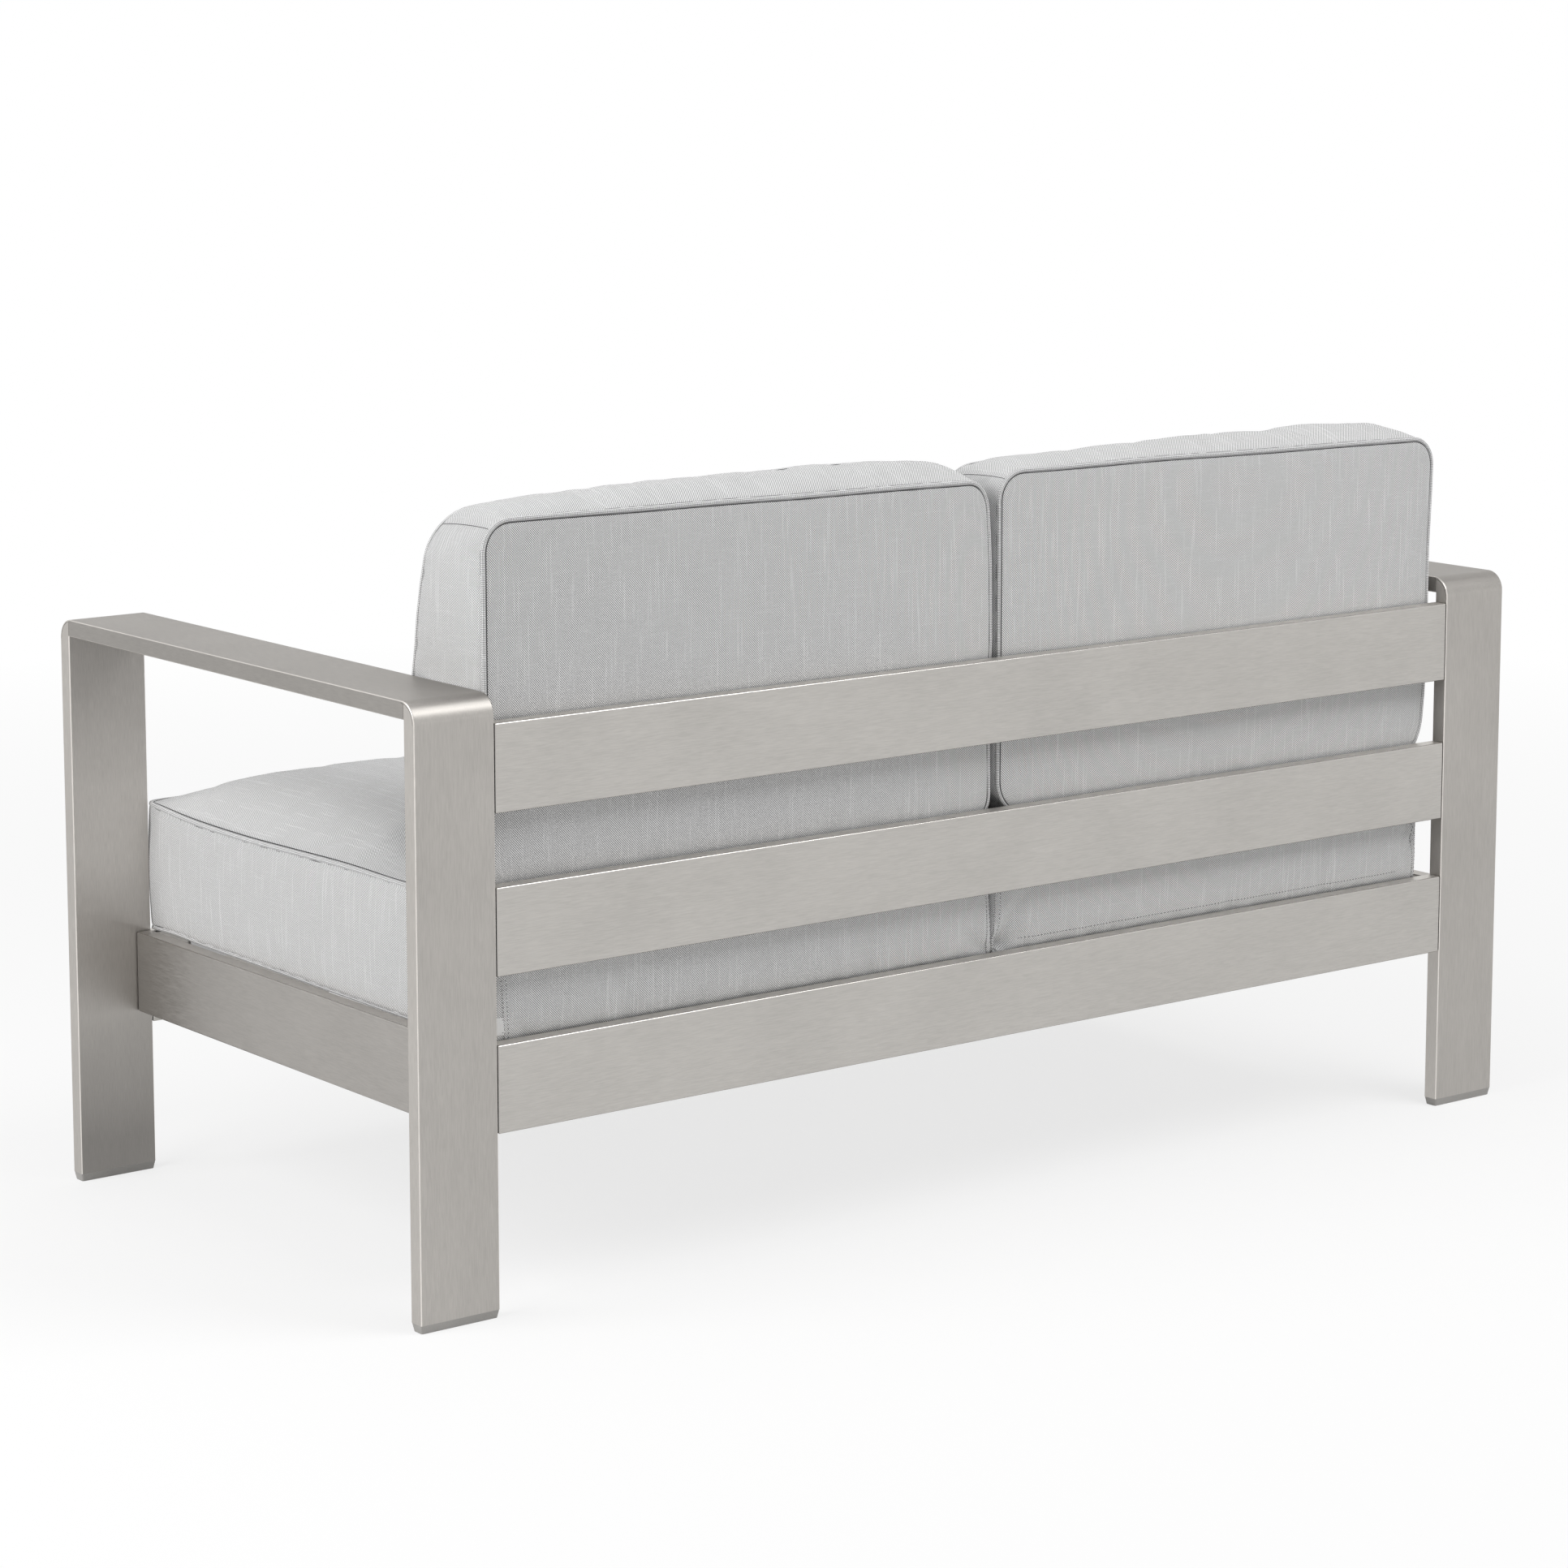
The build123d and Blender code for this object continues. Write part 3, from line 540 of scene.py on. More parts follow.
def backPoint(a, b, h, setup, habit):
    # a across, b up from the middle of the cushion, h forwards from its rear face
    level = h / setup["thickness"]
    planA, planB = roundedPlan(a, b, level, setup)
    faceA, faceB = edgeDirection(a, b, level, setup)
    planA += faceA * setup["bulge"] * 4 * level * (1 - level)
    shareA, shareB = 2 * planA / setup["width"], 2 * planB / setup["length"]
    limitA, limitB = min(abs(shareA), 1.0), min(abs(shareB), 1.0)
    rise = (1 + shareB) / 2
    height = planB + setup["length"] / 2
    planA *= 1 - setup["frontTaper"] * level
    taper = habit["innerTaper"] if a < 0 else habit["outerTaper"]
    planA += between(taper, rise) * abs(shareA) ** 8
    crownAcross, crownUp = 1 - limitA ** 5, 1 - limitB ** 4
    most, less = setup["crownSlope"]
    y = setup["rear"] - level * between(setup["depths"], rise)
    y -= setup["crown"] * level ** 3 * crownAcross * crownUp * (most - less * rise)
    y += setup["rearCrown"] * (1 - level) ** 3 * crownAcross * crownUp
    z = setup["bottom"] + height + setup["frontRise"] * level * smooth(rise, 0.5, 1.0)
    z += setup["topCrown"] * max(faceB, 0.0) * 4 * level * (1 - level) * (0.3 + 0.7 * (1 - limitA ** 4))
    z -= setup["endSag"] * limitA ** 6 * smooth(setup["sagRange"] - rise, 0.0, setup["sagRange"])
    innerLift, outerLift = habit["topLift"]
    tilt = innerLift + (outerLift - innerLift) * (0.5 + planA / setup["width"])
    z += tilt * (1 - level) * smooth(rise, 0.3, 1.0)
    lift, where, width = habit["frontLift"]
    z += lift * (1 - ((planA - where) / width) ** 2) * level * smooth(rise, 0.5, 1.0)
    for where, width, lift in habit["frontDips"]:
        z += lift * bell(planA, where, width) * smooth(rise, 0.85, 1.0) * level ** 2
    rate = setup["wavesPerMetre"]
    wave = noise.noise(Vector((a * rate, b * rate, habit["seed"] + level)))
    z += sewing["wander"] * setup["waveGain"] * wave * smooth(rise, 0.4, 1.0)
    return Vector((habit["side"] * (setup["middle"] + planA), y, z))


# What is special about each cushion. Pairs go from the inner to the outer side, dips are
# (place, width, lift, on the top edge or on the hem), folds in the rear boxing run from one
# (across, height) to another and have a depth and a width, gathers are (end, place, width, strength).

cushions = {
    "left_seat": {
        "kind": "seat", "side": 1, "seed": 3.0,
        "rearShift": (0.001, 0.0), "rearLean": (0.009, 0.0),
        "folds": ((-0.29, 0.012, -0.262, 0.03, 0.0045, 0.007),),
        "dips": ((-0.140, 0.10, -0.004, True), (-0.335, 0.06, 0.005, True),
                 (-0.265, 0.035, 0.002, False), (-0.2, 0.22, 0.0025, False)),
    },
    "right_seat": {
        "kind": "seat", "side": -1, "seed": 17.0,
        "rearShift": (-0.009, -0.015), "rearLean": (0.005, 0.0),
        "folds": ((-0.297, 0.012, -0.255, 0.080, 0.0070, 0.008),
                  (-0.298, 0.008, -0.258, 0.024, 0.0065, 0.007),
                  (0.297, 0.075, 0.268, 0.036, 0.0045, 0.006),
                  (0.298, 0.050, 0.280, 0.020, 0.0050, 0.006)),
        "dips": ((-0.10, 0.12, -0.003, True), (-0.2, 0.05, 0.001, False), (-0.2, 0.22, 0.0025, False)),
    },
    "left_back": {
        "kind": "back", "side": 1, "seed": 31.0, "topLift": (-0.002, 0.0035),
        "frontLift": (0.0095, -0.08, 0.35),
        "frontDips": ((-0.13, 0.03, 0.002), (-0.19, 0.035, 0.001)),
        "innerTaper": ((0.0, 0.004), (0.34, 0.006), (0.53, 0.0035), (0.75, 0.0045), (0.84, 0.006),
                       (1.0, 0.010)),
        "outerTaper": ((0.0, 0.0), (1.0, 0.0)),
        "gathers": ((1, -0.135, 0.09, 4.5), (-1, 0.0, 0.4, 1.8)),
    },
    "right_back": {
        "kind": "back", "side": -1, "seed": 47.0, "topLift": (0.006, 0.0),
        "frontLift": (0.0045, 0.2, 0.36),
        "frontDips": ((0.1, 0.05, -0.001), (-0.255, 0.03, 0.0025), (0.17, 0.05, 0.002)),
        "innerTaper": ((0.0, -0.004), (1.0, -0.004)),
        "outerTaper": ((0.0, -0.010), (0.07, -0.010), (0.2, -0.006), (0.45, -0.004), (0.65, -0.004),
                       (0.85, -0.001), (1.0, 0.0)),
        "gathers": ((-1, 0.0, 0.4, 1.8),),
        "cut": {"lowCorners": (0.040, 0.043)},
    },
}


def setupOf(habit):
    base = seatCushion if habit["kind"] == "seat" else backCushion
    return {**base, **habit.get("cut", {})}


def cutPlaces(half, radius):
    # places of the edge loops across one direction: close beside the seams, then wider
    near = [half - step for step in sewing["loops"]]
    place = near[-1]
    while place > half - radius * sewing["cornerReach"]:
        place -= sewing["cornerSpacing"]
        near.append(place)
    count = max(2, round(2 * place / sewing["spacing"]))
    middle = [-place + 2 * place * step / count for step in range(1, count)]
    return near + [-value for value in near] + middle


def cushionBlank(setup):
    bm = bmesh.new()
    bmesh.ops.create_cube(bm, size=1.0)
    size = (setup["width"], setup["length"], setup["thickness"])
    bmesh.ops.scale(bm, vec=size, verts=bm.verts)
    bmesh.ops.translate(bm, vec=(0, 0, setup["thickness"] / 2), verts=bm.verts)
    radius = max(*setup["lowCorners"], *setup["frontCorners"])
    thick = setup["thickness"]
    levels = list(sewing["loops"]) + [thick - step for step in sewing["loops"]]
    inner = sewing["loops"][-1]
    count = round((thick - 2 * inner) / sewing["spacing"])
    levels += [inner + (thick - 2 * inner) * step / count for step in range(1, count)]
    cuts = [(Vector((1, 0, 0)), value) for value in cutPlaces(setup["width"] / 2, radius)]
    cuts += [(Vector((0, 1, 0)), value) for value in cutPlaces(setup["length"] / 2, radius)]
    cuts += [(Vector((0, 0, 1)), value) for value in levels]
    for normal, value in cuts:
        geometry = bm.verts[:] + bm.edges[:] + bm.faces[:]
        bmesh.ops.bisect_plane(bm, geom=geometry, dist=1e-6, plane_co=normal * value, plane_no=normal)
    return bm


def weaveMap(bm, setup, kind):
    # the cut pattern of the cover: threads keep their size on every panel
    layer = bm.loops.layers.uv.new("weave")
    for face in bm.faces:
        normal = face.normal
        for loop in face.loops:
            a, b, h = loop.vert.co
            if kind == "back":
                h *= between(setup["depths"], b / setup["length"] + 0.5) / setup["thickness"]
            if abs(normal.z) > 0.5:
                place = (a, b + (0.9 if normal.z > 0 else 0.0))
            elif abs(normal.x) > 0.5:
                place = (b, h + 2.0) if kind == "seat" else (h + 2.0, b)
            else:
                place = (a, h + 3.0)
            loop[layer].uv = place


filling = {
    "pressure": 4.0, "frames": 14, "growth": 0.012, "quality": 5, "mass": 0.25,
    "stretch": 20, "shear": 8, "bend": 0.6,
    "seamHold": 0.006,  # cloth this near to a corner seam stays in place
    "heldFrom": 0.115,  # the seat's top is held from here back, under the back cushion
    # how far the filling may push the top or front, the underside or rear, the crest and the boxing
    "roomTop": 0.007, "roomUnder": 0.0015, "roomCrest": 0.004, "roomBoxing": 0.0012,
}


def pinWeight(a, b, h, setup, kind):
    level = h / setup["thickness"]
    halfA, halfB = setup["width"] / 2, setup["length"] / 2
    atSide, atEnd = abs(a) > halfA - filling["seamHold"], abs(b) > halfB - filling["seamHold"]
    onLow, onHigh = level < 0.0005, level > 0.9995
    if (atSide and atEnd) or ((onLow or onHigh) and (atSide or atEnd)):
        return 1.0
    if kind == "seat":
        return 1.0 if onLow or (onHigh and b > filling["heldFrom"]) else 0.0
    return 1.0 if onLow or b < -halfB + 0.001 else 0.0


def roomFor(b, h, setup, kind):
    level = h / setup["thickness"]
    if level > 0.999:
        return filling["roomTop"]
    if level < 0.001:
        return filling["roomUnder"]
    if kind == "back" and b > setup["length"] / 2 - 0.001:
        return filling["roomCrest"]
    return filling["roomBoxing"]


def fillCushion(piece, setup, kind, flat):
    group = piece.vertex_groups.new(name="sewn")
    for index, (a, b, h) in enumerate(flat):
        group.add([index], pinWeight(a, b, h, setup, kind), "REPLACE")
    start = [vertex.co.copy() for vertex in piece.data.vertices]
    cloth = piece.modifiers.new("filling", "CLOTH")
    settings = cloth.settings
    settings.quality = filling["quality"]
    settings.mass = filling["mass"]
    settings.tension_stiffness = settings.compression_stiffness = filling["stretch"]
    settings.shear_stiffness = filling["shear"]
    settings.bending_stiffness = filling["bend"]
    settings.vertex_group_mass = "sewn"
    settings.shrink_min = -filling["growth"]
    settings.use_pressure = True
    settings.uniform_pressure_force = filling["pressure"]
    settings.effector_weights.gravity = 0
    cloth.collision_settings.use_collision = False
    cloth.point_cache.frame_start = 1
    cloth.point_cache.frame_end = filling["frames"]
    for step in range(1, filling["frames"] + 1):
        scene.frame_set(step)
    graph = bpy.context.evaluated_depsgraph_get()
    filled = piece.evaluated_get(graph).to_mesh()
    moved = [vertex.co.copy() for vertex in filled.vertices]
    piece.evaluated_get(graph).to_mesh_clear()
    piece.modifiers.clear()
    piece.vertex_groups.clear()
    scene.frame_set(1)
    farthest = 0.0
    for vertex, begin, end, (a, b, h) in zip(piece.data.vertices, start, moved, flat):
        step = end - begin
        room = roomFor(b, h, setup, kind)
        farthest = max(farthest, step.length)
        if step.length > room:
            step *= room / step.length * (2 - room / step.length)
        vertex.co = begin + step
    return farthest


def dentSeams(piece, setup, flat):
    # the cover dips into every seam, so that the piping stands proud
    halfA, halfB, thick = setup["width"] / 2, setup["length"] / 2, setup["thickness"]
    onSeam, beside = sewing["onSeam"], sewing["besideSeam"]
    normals = [vertex.normal.copy() for vertex in piece.data.vertices]
    for vertex, normal, (a, b, h) in zip(piece.data.vertices, normals, flat):
        toSide = min(halfA - abs(a), halfB - abs(b))
        toPanel = min(h, thick - h)
        sink = 0.0
        if toSide < onSeam and toPanel < onSeam:
            sink = sewing["seamSink"]
        elif max(toSide, toPanel) < beside and min(toSide, toPanel) < onSeam:
            sink = sewing["besideSink"]
        vertex.co -= normal * sink


def foldDepth(a, h, folds):
    depth = 0.0
    for a0, h0, a1, h1, deepest, width in folds:
        runA, runH = a1 - a0, h1 - h0
        share = ((a - a0) * runA + (h - h0) * runH) / (runA ** 2 + runH ** 2)
        held = min(max(share, 0.0), 1.0)
        away = math.hypot(a - a0 - held * runA, h - h0 - held * runH)
        depth += deepest * (1 - held) * math.exp(-(away / width) ** 2)
    return depth


def puckerSeams(piece, setup, habit):
    halfA, halfB, thick = setup["width"] / 2, setup["length"] / 2, setup["thickness"]
    flat = piece.data.attributes["flat"].data
    normals = [vertex.normal.copy() for vertex in piece.data.vertices]
    rate, gateRate, least = sewing["puckersPerMetre"], sewing["gatesPerMetre"], sewing["gateShare"]
    touching = 1e-4
    for index, vertex in enumerate(piece.data.vertices):
        a, b, h = flat[index].vector
        toA, toB, toPanel = halfA - abs(a), halfB - abs(b), min(h, thick - h)
        away = min(toA, toB) if toPanel < touching else toPanel
        atSide = toA < toB
        run = b if atSide else a
        turn = habit["seed"] + (5.0 if atSide else 0.0) + (2.0 if h > thick / 2 else 0.0)
        ridge = noise.noise(Vector((run * rate, turn, math.copysign(3, a if atSide else b))))
        gate = smooth(noise.noise(Vector((run * gateRate, turn + 9, 0))), -0.1, 0.4)
        gate = least + (1 - least) * gate
        fade = math.exp(-away / sewing["puckerReach"]) * (1 - math.exp(-away / sewing["puckerStart"]))
        lift = 2 * sewing["puckerHeight"] * ridge * gate * fade
        if touching < h < thick - touching:
            lift *= sewing["boxingShare"]
        if h < touching and toB < toA:
            for end, where, width, strength in habit.get("gathers", ()):
                if end * b > 0:
                    near = math.exp(-away / sewing["gatherReach"])
                    near *= 1 - math.exp(-(away / sewing["gatherStart"]) ** 2)
                    lift += 2 * sewing["puckerHeight"] * strength * ridge * near * bell(a, where, width)
        if b > halfB - touching:
            lift -= foldDepth(a, h, habit.get("folds", ()))
        soft = noise.noise(vertex.co * sewing["softPerMetre"] + Vector((habit["seed"], 0, 0)))
        lift += sewing["softHeight"] * soft * (1 - math.exp(-away / sewing["softReach"]))
        vertex.co += normals[index] * lift


def finishMesh(piece):
    # modifiers applied into the mesh itself
    graph = bpy.context.evaluated_depsgraph_get()
    made = bpy.data.meshes.new_from_object(piece.evaluated_get(graph), preserve_all_data_layers=True,
                                           depsgraph=graph)
    old = piece.data
    piece.modifiers.clear()
    piece.data = made
    bpy.data.meshes.remove(old)
    made.name = piece.name


def addPiece(name, bm, material):
    mesh = bpy.data.meshes.new(name)
    bm.to_mesh(mesh)
    bm.free()
    mesh.materials.append(materials[material])
    for polygon in mesh.polygons:
        polygon.use_smooth = True
    piece = bpy.data.objects.new(name, mesh)
    scene.collection.objects.link(piece)
    return piece


def makeCushion(name, habit):
    kind = habit["kind"]
    setup = setupOf(habit)
    shape = seatPoint if kind == "seat" else backPoint
    bm = cushionBlank(setup)
    weaveMap(bm, setup, kind)
    bm.verts.ensure_lookup_table()
    flat = [tuple(vertex.co) for vertex in bm.verts]
    for vertex in bm.verts:
        vertex.co = shape(*vertex.co, setup, habit)
    if bm.calc_volume(signed=True) < 0:
        bmesh.ops.reverse_faces(bm, faces=bm.faces)
    piece = addPiece(name + "_cushion", bm, "fabric")
    print(name, "filled, farthest move", round(fillCushion(piece, setup, kind, flat), 4))
    dentSeams(piece, setup, flat)
    layer = piece.data.attributes.new("flat", "FLOAT_VECTOR", "POINT")
    layer.data.foreach_set("vector", [value for place in flat for value in place])
    surface = piece.modifiers.new("surface", "SUBSURF")
    surface.levels = surface.render_levels = 1
    finishMesh(piece)
    puckerSeams(piece, setup, habit)
    piece.data.attributes.remove(piece.data.attributes["flat"])
    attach(piece, name + "_cushion")
    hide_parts(name + "_cover", name + "_core")
    return piece


def seamPath(setup, shape, habit, level, toBoxing, toPanel):
    # points round one face of the cushion, set in from its edge along the boxing and the panel
    halfA, halfB = setup["width"] / 2, setup["length"] / 2
    corners = [(-halfA, -halfB), (halfA, -halfB), (halfA, halfB), (-halfA, halfB)]
    h, probe = setup["thickness"] * level, sewing["probe"]
    path = []
    for (a0, b0), (a1, b1) in zip(corners, corners[1:] + corners[:1]):
        count = round(math.hypot(a1 - a0, b1 - b0) / sewing["pathStep"])
        for step in range(count):
            a, b = a0 + (a1 - a0) * step / count, b0 + (b1 - b0) * step / count
            place = shape(a, b, h, setup, habit)
            faceA, faceB = edgeDirection(a, b, level, setup)
            inside = shape(a - faceA * probe, b - faceB * probe, h, setup, habit)
            deeper = shape(a, b, h + (probe if level == 0 else -probe), setup, habit)
            path.append(place + (inside - place).normalized() * toPanel
                        + (deeper - place).normalized() * toBoxing)
    return path


def tubeMesh(lines, radius, sides, closed=True):
    curve = bpy.data.curves.new("tubePath", "CURVE")
    curve.dimensions = "3D"
    curve.bevel_depth = radius
    curve.bevel_resolution = sides // 2 - 2
    curve.use_fill_caps = not closed
    for points in lines:
        line = curve.splines.new("POLY")
        line.points.add(len(points) - 1)
        line.points.foreach_set("co", [value for point in points for value in (*point, 1.0)])
        line.use_cyclic_u = closed
    loose = bpy.data.objects.new("tubePath", curve)
    scene.collection.objects.link(loose)
    graph = bpy.context.evaluated_depsgraph_get()
    mesh = bpy.data.meshes.new_from_object(loose.evaluated_get(graph))
    bpy.data.objects.remove(loose)
    bpy.data.curves.remove(curve)
    points = lines[0]
    ends = points[1:] + points[:1] if closed else points[1:]
    length = sum((end - start).length for start, end in zip(points, ends))
    layer = mesh.uv_layers[0]
    layer.name = "weave"  # the piping's strip is cut at 45 degrees to the threads
    for item in layer.data:
        run, turn = item.uv[0] * length, item.uv[1] * 2 * math.pi * radius
        item.uv = ((run + turn) * math.sqrt(0.5), (run - turn) * math.sqrt(0.5))
    for polygon in mesh.polygons:
        polygon.use_smooth = True
    return mesh


def joinMeshes(name, parts):
    # one piece from several meshes, each with its own material
    bm = bmesh.new()
    mesh = bpy.data.meshes.new(name)
    for number, (part, material) in enumerate(parts):
        first = len(bm.faces)
        bm.from_mesh(part)
        bm.faces.ensure_lookup_table()
        for face in bm.faces[first:]:
            face.material_index = number
        mesh.materials.append(materials[material])
        bpy.data.meshes.remove(part)
    bm.to_mesh(mesh)
    bm.free()
    piece = bpy.data.objects.new(name, mesh)
    scene.collection.objects.link(piece)
    return piece


def makePiping(name, habit):
    setup = setupOf(habit)
    shape = seatPoint if habit["kind"] == "seat" else backPoint
    inset = sewing["pipingRadius"] - sewing["pipingSink"]
    for level, label in ((0, "low"), (1, "high")):
        cord = seamPath(setup, shape, habit, level, inset, inset)
        # painted shade: a thin near-black tube on the panel beside the piping, standing in for the
        # shadow in the seam's crease
        onPanel = seamPath(setup, shape, habit, level, sewing["creaseSink"], sewing["creaseInset"])
        # a stitch line on the boxing side, drawn dark grey as partly painted shade of the crease
        onBoxing = seamPath(setup, shape, habit, level, sewing["threadInset"], sewing["threadSink"])
        parts = [(tubeMesh([cord], sewing["pipingRadius"], 10), "fabric"),
                 (tubeMesh([onPanel], sewing["creaseRadius"], 4), "crease"),
                 (tubeMesh([onBoxing], sewing["threadRadius"], 4), "thread")]
        piece = joinMeshes(name + "_piping_" + label, parts)
        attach(piece, name + "_cushion")


# Sewn details: mitre seams drawn as near-black lines of painted crease shade, felled seams with two
# rows of stitches, a topstitch row, a blank tag

stitching = {
    "length": 0.0024, "pitch": 0.0042, "radius": 0.00036, "lift": 0.0001,
    "stripWidth": 0.0058, "stripHeight": 0.0006, "rowInset": 0.0008, "stripTaper": 0.94,
    "mitreRadius": 0.0003, "mitreSteps": 24, "mitreRange": (0.035, 0.965),
    "tagWidth": 0.009, "tagHeight": 0.0165, "tagThickness": 0.0005, "tagHem": 0.0022,
    "tagSteps": 4,
    # felled seams in the rear boxing: place across at its top and at its bottom
    "felled": {"left_seat": ((0.2926, 0.2835), (-0.2985, -0.2990)),
               "right_seat": ((0.2980, 0.2980), (-0.2990, -0.2995))},
    "felledHeights": (0.006, 0.124), "felledSteps": 20,
    "topstitchHeight": 0.0148, "topstitchReach": 0.272, "topstitchSteps": 90,
    "tagPlace": (0.2905, 0.0184),
}


def onSurface(piece, points, lift):
    placed = []
    for point in points:
        found, place, normal, index = piece.closest_point_on_mesh(point)
        placed.append(place + normal * lift)
    return placed


def rearPoints(habit, start, end, count):
    # places on the rear boxing of a seat cushion between two (across, height) pairs
    half = seatCushion["length"] / 2
    line = []
    for step in range(count + 1):
        share = step / count
        across, height = (first + (last - first) * share for first, last in zip(start, end))
        line.append(seatPoint(across, half, height, seatCushion, habit))
    return line


def stitchRow(piece, points, setup):
    # short tubes along a line, each a little below the cloth at its ends
    lengths = [0.0]
    for start, end in zip(points, points[1:]):
        lengths.append(lengths[-1] + (end - start).length)
    reach = list(zip(lengths, points))

    def placeAt(run):
        for (low, start), (high, end) in zip(reach, reach[1:]):
            if run <= high:
                return start.lerp(end, (run - low) / (high - low))
        return points[-1]

    lines = []
    for number in range(int(lengths[-1] / setup["pitch"])):
        begin = number * setup["pitch"]
        run = [placeAt(begin + setup["length"] * share) for share in (0.0, 0.25, 0.75, 1.0)]
        low, high = -setup["radius"], setup["lift"]
        lifts = (low, high, high, low)
        lines.append([onSurface(piece, [point], lift)[0] for point, lift in zip(run, lifts)])
    return tubeMesh(lines, setup["radius"], 4, closed=False)


def stripMesh(piece, points, width, height):
    # a flat band that lies on the cushion along a line
    bm = bmesh.new()
    bmesh.ops.create_cube(bm, size=1.0)
    steps = len(points) - 1
    bmesh.ops.translate(bm, vec=(0.5, 0, 0), verts=bm.verts)
    along = Vector((1, 0, 0))
    for step in range(1, steps):
        geometry = bm.verts[:] + bm.edges[:] + bm.faces[:]
        bmesh.ops.bisect_plane(bm, geom=geometry, dist=1e-6, plane_co=along * (step / steps),
                               plane_no=along)
    length = sum((end - start).length for start, end in zip(points, points[1:]))
    layer = bm.loops.layers.uv.new("weave")
    for face in bm.faces:
        for loop in face.loops:
            run, across, up = loop.vert.co
            loop[layer].uv = (5 + width * across + height * up, run * length)  # 5: clear of the panels
    stations = []
    for index, point in enumerate(points):
        found, place, normal, face = piece.closest_point_on_mesh(point)
        ahead = points[min(index + 1, steps)] - points[max(index - 1, 0)]
        stations.append((place, normal, ahead.normalized().cross(normal)))
    for vertex in bm.verts:
        run, across, up = vertex.co
        place, normal, sideways = stations[round(run * steps)]
        taper = stitching["stripTaper"] if up > 0 else 1.0
        vertex.co = place + sideways * width * across * taper + normal * height * 2 * up
    if bm.calc_volume(signed=True) < 0:
        bmesh.ops.reverse_faces(bm, faces=bm.faces)
    mesh = bpy.data.meshes.new("strip")
    bm.to_mesh(mesh)
    bm.free()
    return mesh


def sewSeat(name, habit, piece, setup):
    low, high = setup["felledHeights"]
    steps = setup["felledSteps"]
    parts = []
    for top, bottom in setup["felled"][name]:
        middle = rearPoints(habit, (bottom, low), (top, high), steps)
        parts.append((stripMesh(piece, middle, setup["stripWidth"], setup["stripHeight"]), "fabric"))
        for side in (-1, 1):
            aside = side * (setup["stripWidth"] / 2 - setup["rowInset"])
            row = rearPoints(habit, (bottom + aside, low), (top + aside, high), steps)
            lifted = onSurface(piece, row, setup["stripHeight"])
            parts.append((stitchRow(piece, lifted, {**setup, "lift": setup["stripHeight"]}), "thread"))
    if name == "left_seat":
        across, height = setup["tagPlace"]
        reach, half = setup["tagWidth"] / 2 - setup["rowInset"], setup["tagHeight"] / 2
        steps = setup["tagSteps"]
        tag = rearPoints(habit, (across, height - half), (across, height + half), steps)
        parts.append((stripMesh(piece, tag, setup["tagWidth"], setup["tagThickness"]), "tag"))
        for end in (-1, 1):
            hem = height + end * (half - setup["tagHem"])
            row = rearPoints(habit, (across - reach, hem), (across + reach, hem), steps)
            sewn = {**setup, "lift": setup["tagThickness"]}
            parts.append((stitchRow(piece, onSurface(piece, row, 0.0), sewn), "thread"))
    else:
        reach, height = setup["topstitchReach"], setup["topstitchHeight"]
        row = rearPoints(habit, (-reach, height), (reach, height), setup["topstitchSteps"])
        parts.append((stitchRow(piece, onSurface(piece, row, 0.0), setup), "thread"))
    return parts


def sewBack(habit, piece, setup):
    # mitre seams across the boxing at both top corners, drawn as near-black lines of painted shade in
    # their creases
    cut = setupOf(habit)
    low, high = setup["mitreRange"]
    steps = setup["mitreSteps"]
    heights = [cut["thickness"] * (low + (high - low) * step / steps) for step in range(steps + 1)]
    lines = []
    for side in (-1, 1):
        corner = [backPoint(side * cut["width"] / 2, cut["length"] / 2, height, cut, habit)
                  for height in heights]
        lines.append(onSurface(piece, corner, setup["lift"]))
    return [(tubeMesh(lines, setup["mitreRadius"], 4, closed=False), "crease")]


def sewCushion(name, habit, piece):
    if habit["kind"] == "seat":
        parts = sewSeat(name, habit, piece, stitching)
    else:
        parts = sewBack(habit, piece, stitching)
    sewn = joinMeshes(name + "_stitching", parts)
    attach(sewn, name + "_cushion")


for cushionName, cushionHabit in cushions.items():
    cushion = makeCushion(cushionName, cushionHabit)
    makePiping(cushionName, cushionHabit)
    sewCushion(cushionName, cushionHabit, cushion)
print("cushions made")


# Stage: white floor and backdrop, soft lamps

studio = {
    "floorRadius": 14.0, "floorSides": 96,
    "floorColor": (0.86, 0.86, 0.86), "floorRoughness": 0.9, "floorSpecular": 0.1,
    "ownLight": 0.74, "shadeRange": (0.8, 3.5),  # the floor turns plain white this far out
    "worldStrength": 0.38,
    "aim": (0, 0, 0.35),
    "lamps": (
        # azimuth, elevation, distance, size, power
        (88, 32, 3.4, 2.4, 60),
        (210, 50, 3.6, 2.2, 60),
        (10, 84, 3.2, 2.6, 14),
    ),
}


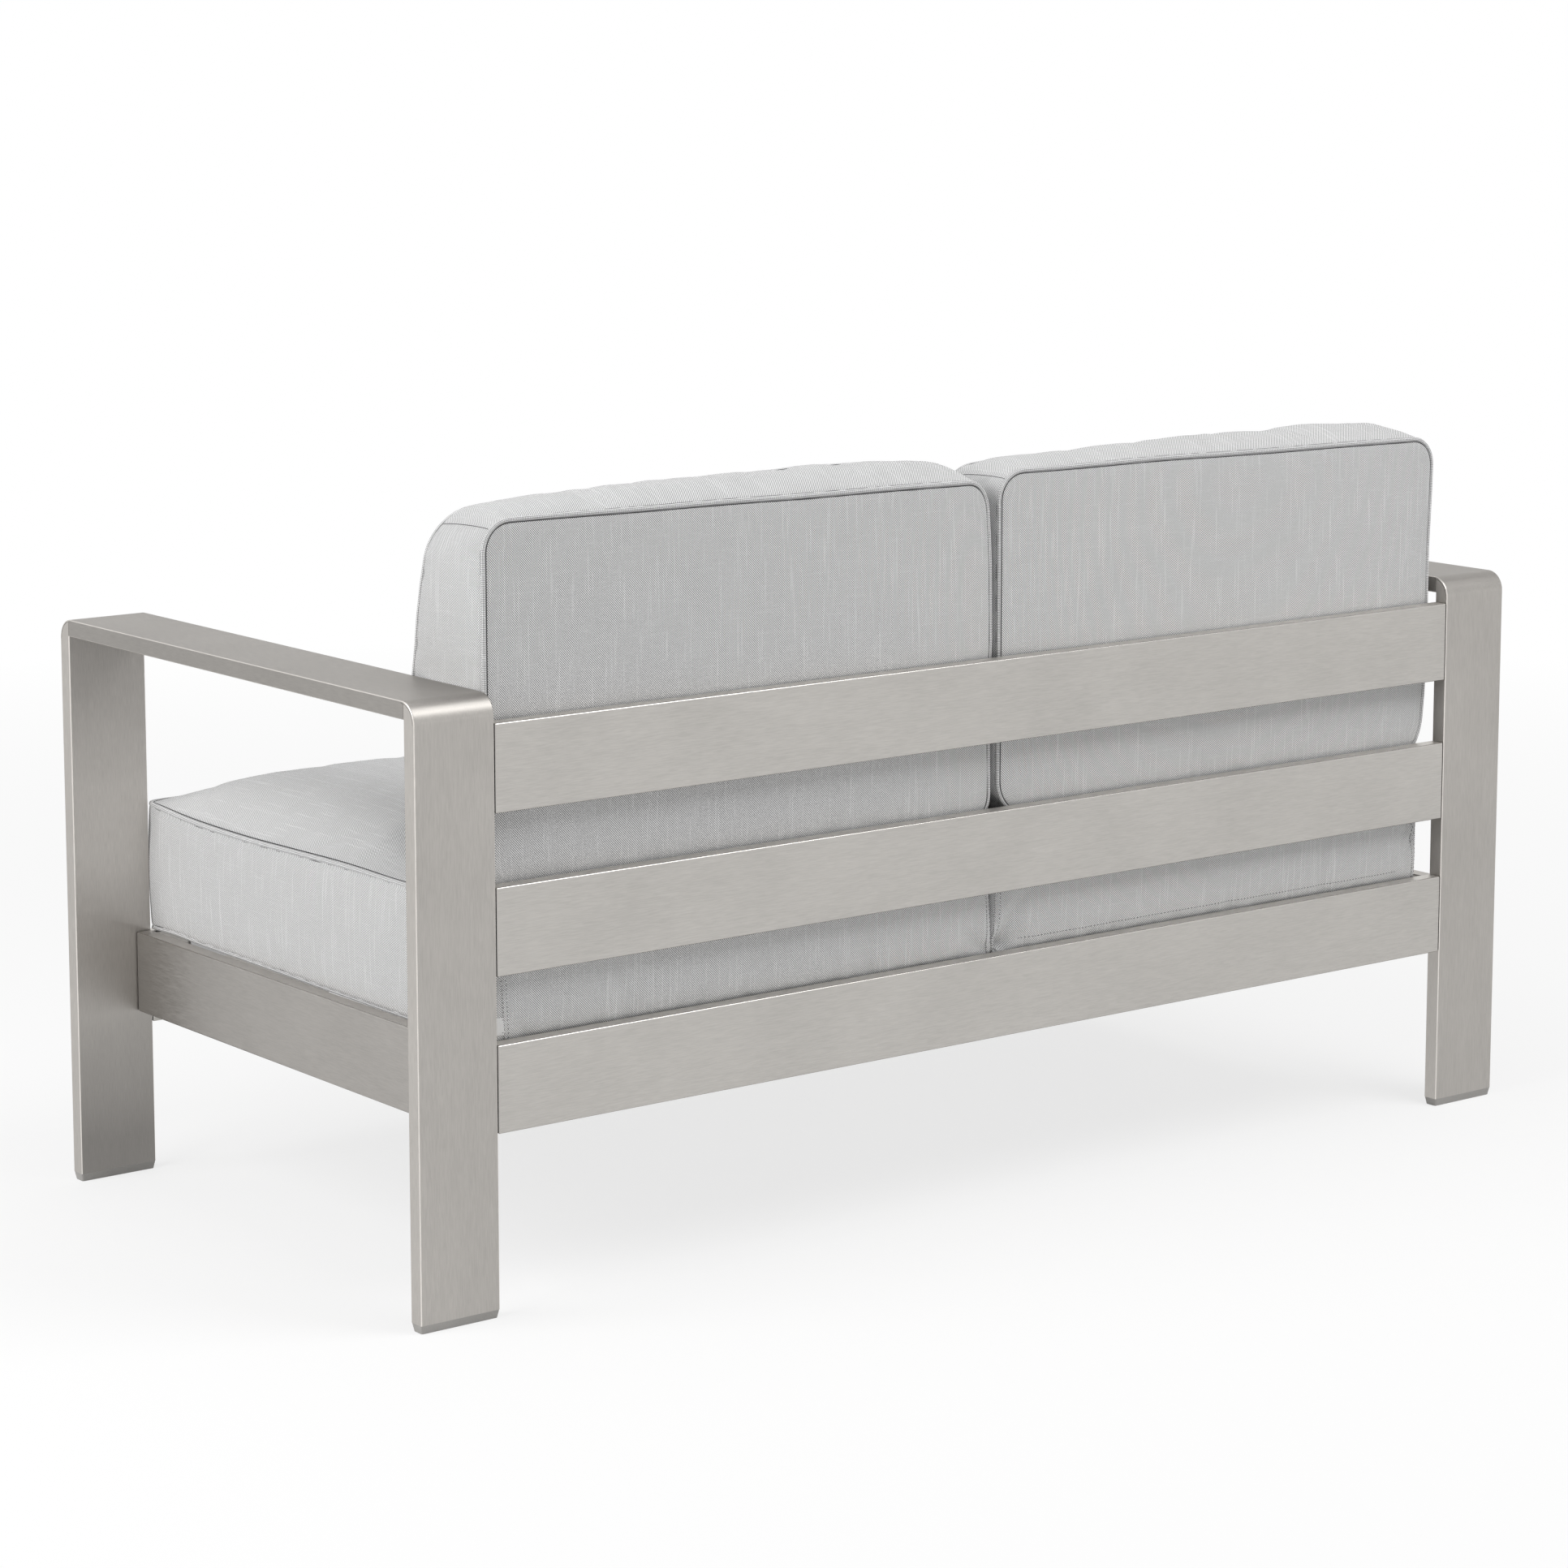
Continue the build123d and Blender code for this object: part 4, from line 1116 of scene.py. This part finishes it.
def seenDirectly(tree):
    path = addNode(tree, "LightPath").outputs
    seen = calc(tree, "MAXIMUM", path["Is Camera Ray"], path["Is Glossy Ray"])
    return calc(tree, "MAXIMUM", seen, path["Is Transmission Ray"])


def addStage(setup):
    bm = bmesh.new()
    bmesh.ops.create_circle(bm, cap_ends=True, segments=setup["floorSides"],
                            radius=setup["floorRadius"])
    mesh = bpy.data.meshes.new("floor")
    bm.to_mesh(mesh)
    bm.free()
    floor = bpy.data.objects.new("floor", mesh)
    scene.collection.objects.link(floor)
    material, tree, shader = newMaterial("studioFloor")
    shader.inputs["Base Color"].default_value = (*setup["floorColor"], 1.0)
    shader.inputs["Roughness"].default_value = setup["floorRoughness"]
    shader.inputs["Specular IOR Level"].default_value = setup["floorSpecular"]
    glow = addNode(tree, "Emission", {"Color": (1, 1, 1, 1), "Strength": 1.0})
    place = addNode(tree, "TexCoord").outputs["Object"]
    reach = addNode(tree, "VectorMath", {0: place}, operation="LENGTH").outputs["Value"]
    share = remap(tree, reach, *setup["shadeRange"], setup["ownLight"], 1.0)
    share = calc(tree, "MULTIPLY", share, seenDirectly(tree))
    mixed = addNode(tree, "MixShader", {0: share, 1: shader.outputs[0], 2: glow.outputs[0]})
    tree.links.new(mixed.outputs[0], tree.nodes["Material Output"].inputs[0])
    mesh.materials.append(material)

    world = bpy.data.worlds.new("studio")
    world.use_nodes = True
    scene.world = world
    tree = world.node_tree
    background = tree.nodes["Background"]
    background.inputs["Color"].default_value = (1, 1, 1, 1)
    strength = addNode(tree, "Mix", {0: seenDirectly(tree), 2: setup["worldStrength"], 3: 1.0})
    tree.links.new(strength.outputs[0], background.inputs["Strength"])

    for number, (azimuth, elevation, distance, size, power) in enumerate(setup["lamps"]):
        light = bpy.data.lights.new("lamp" + str(number + 1), "AREA")
        light.shape = "DISK"
        light.size = size
        light.energy = power
        lamp = bpy.data.objects.new(light.name, light)
        back = outward(azimuth, elevation)
        lamp.location = Vector(setup["aim"]) + back * distance
        lamp.rotation_mode = "QUATERNION"
        lamp.rotation_quaternion = (-back).to_track_quat("-Z", "Y")
        scene.collection.objects.link(lamp)


addStage(studio)
print("stage set")
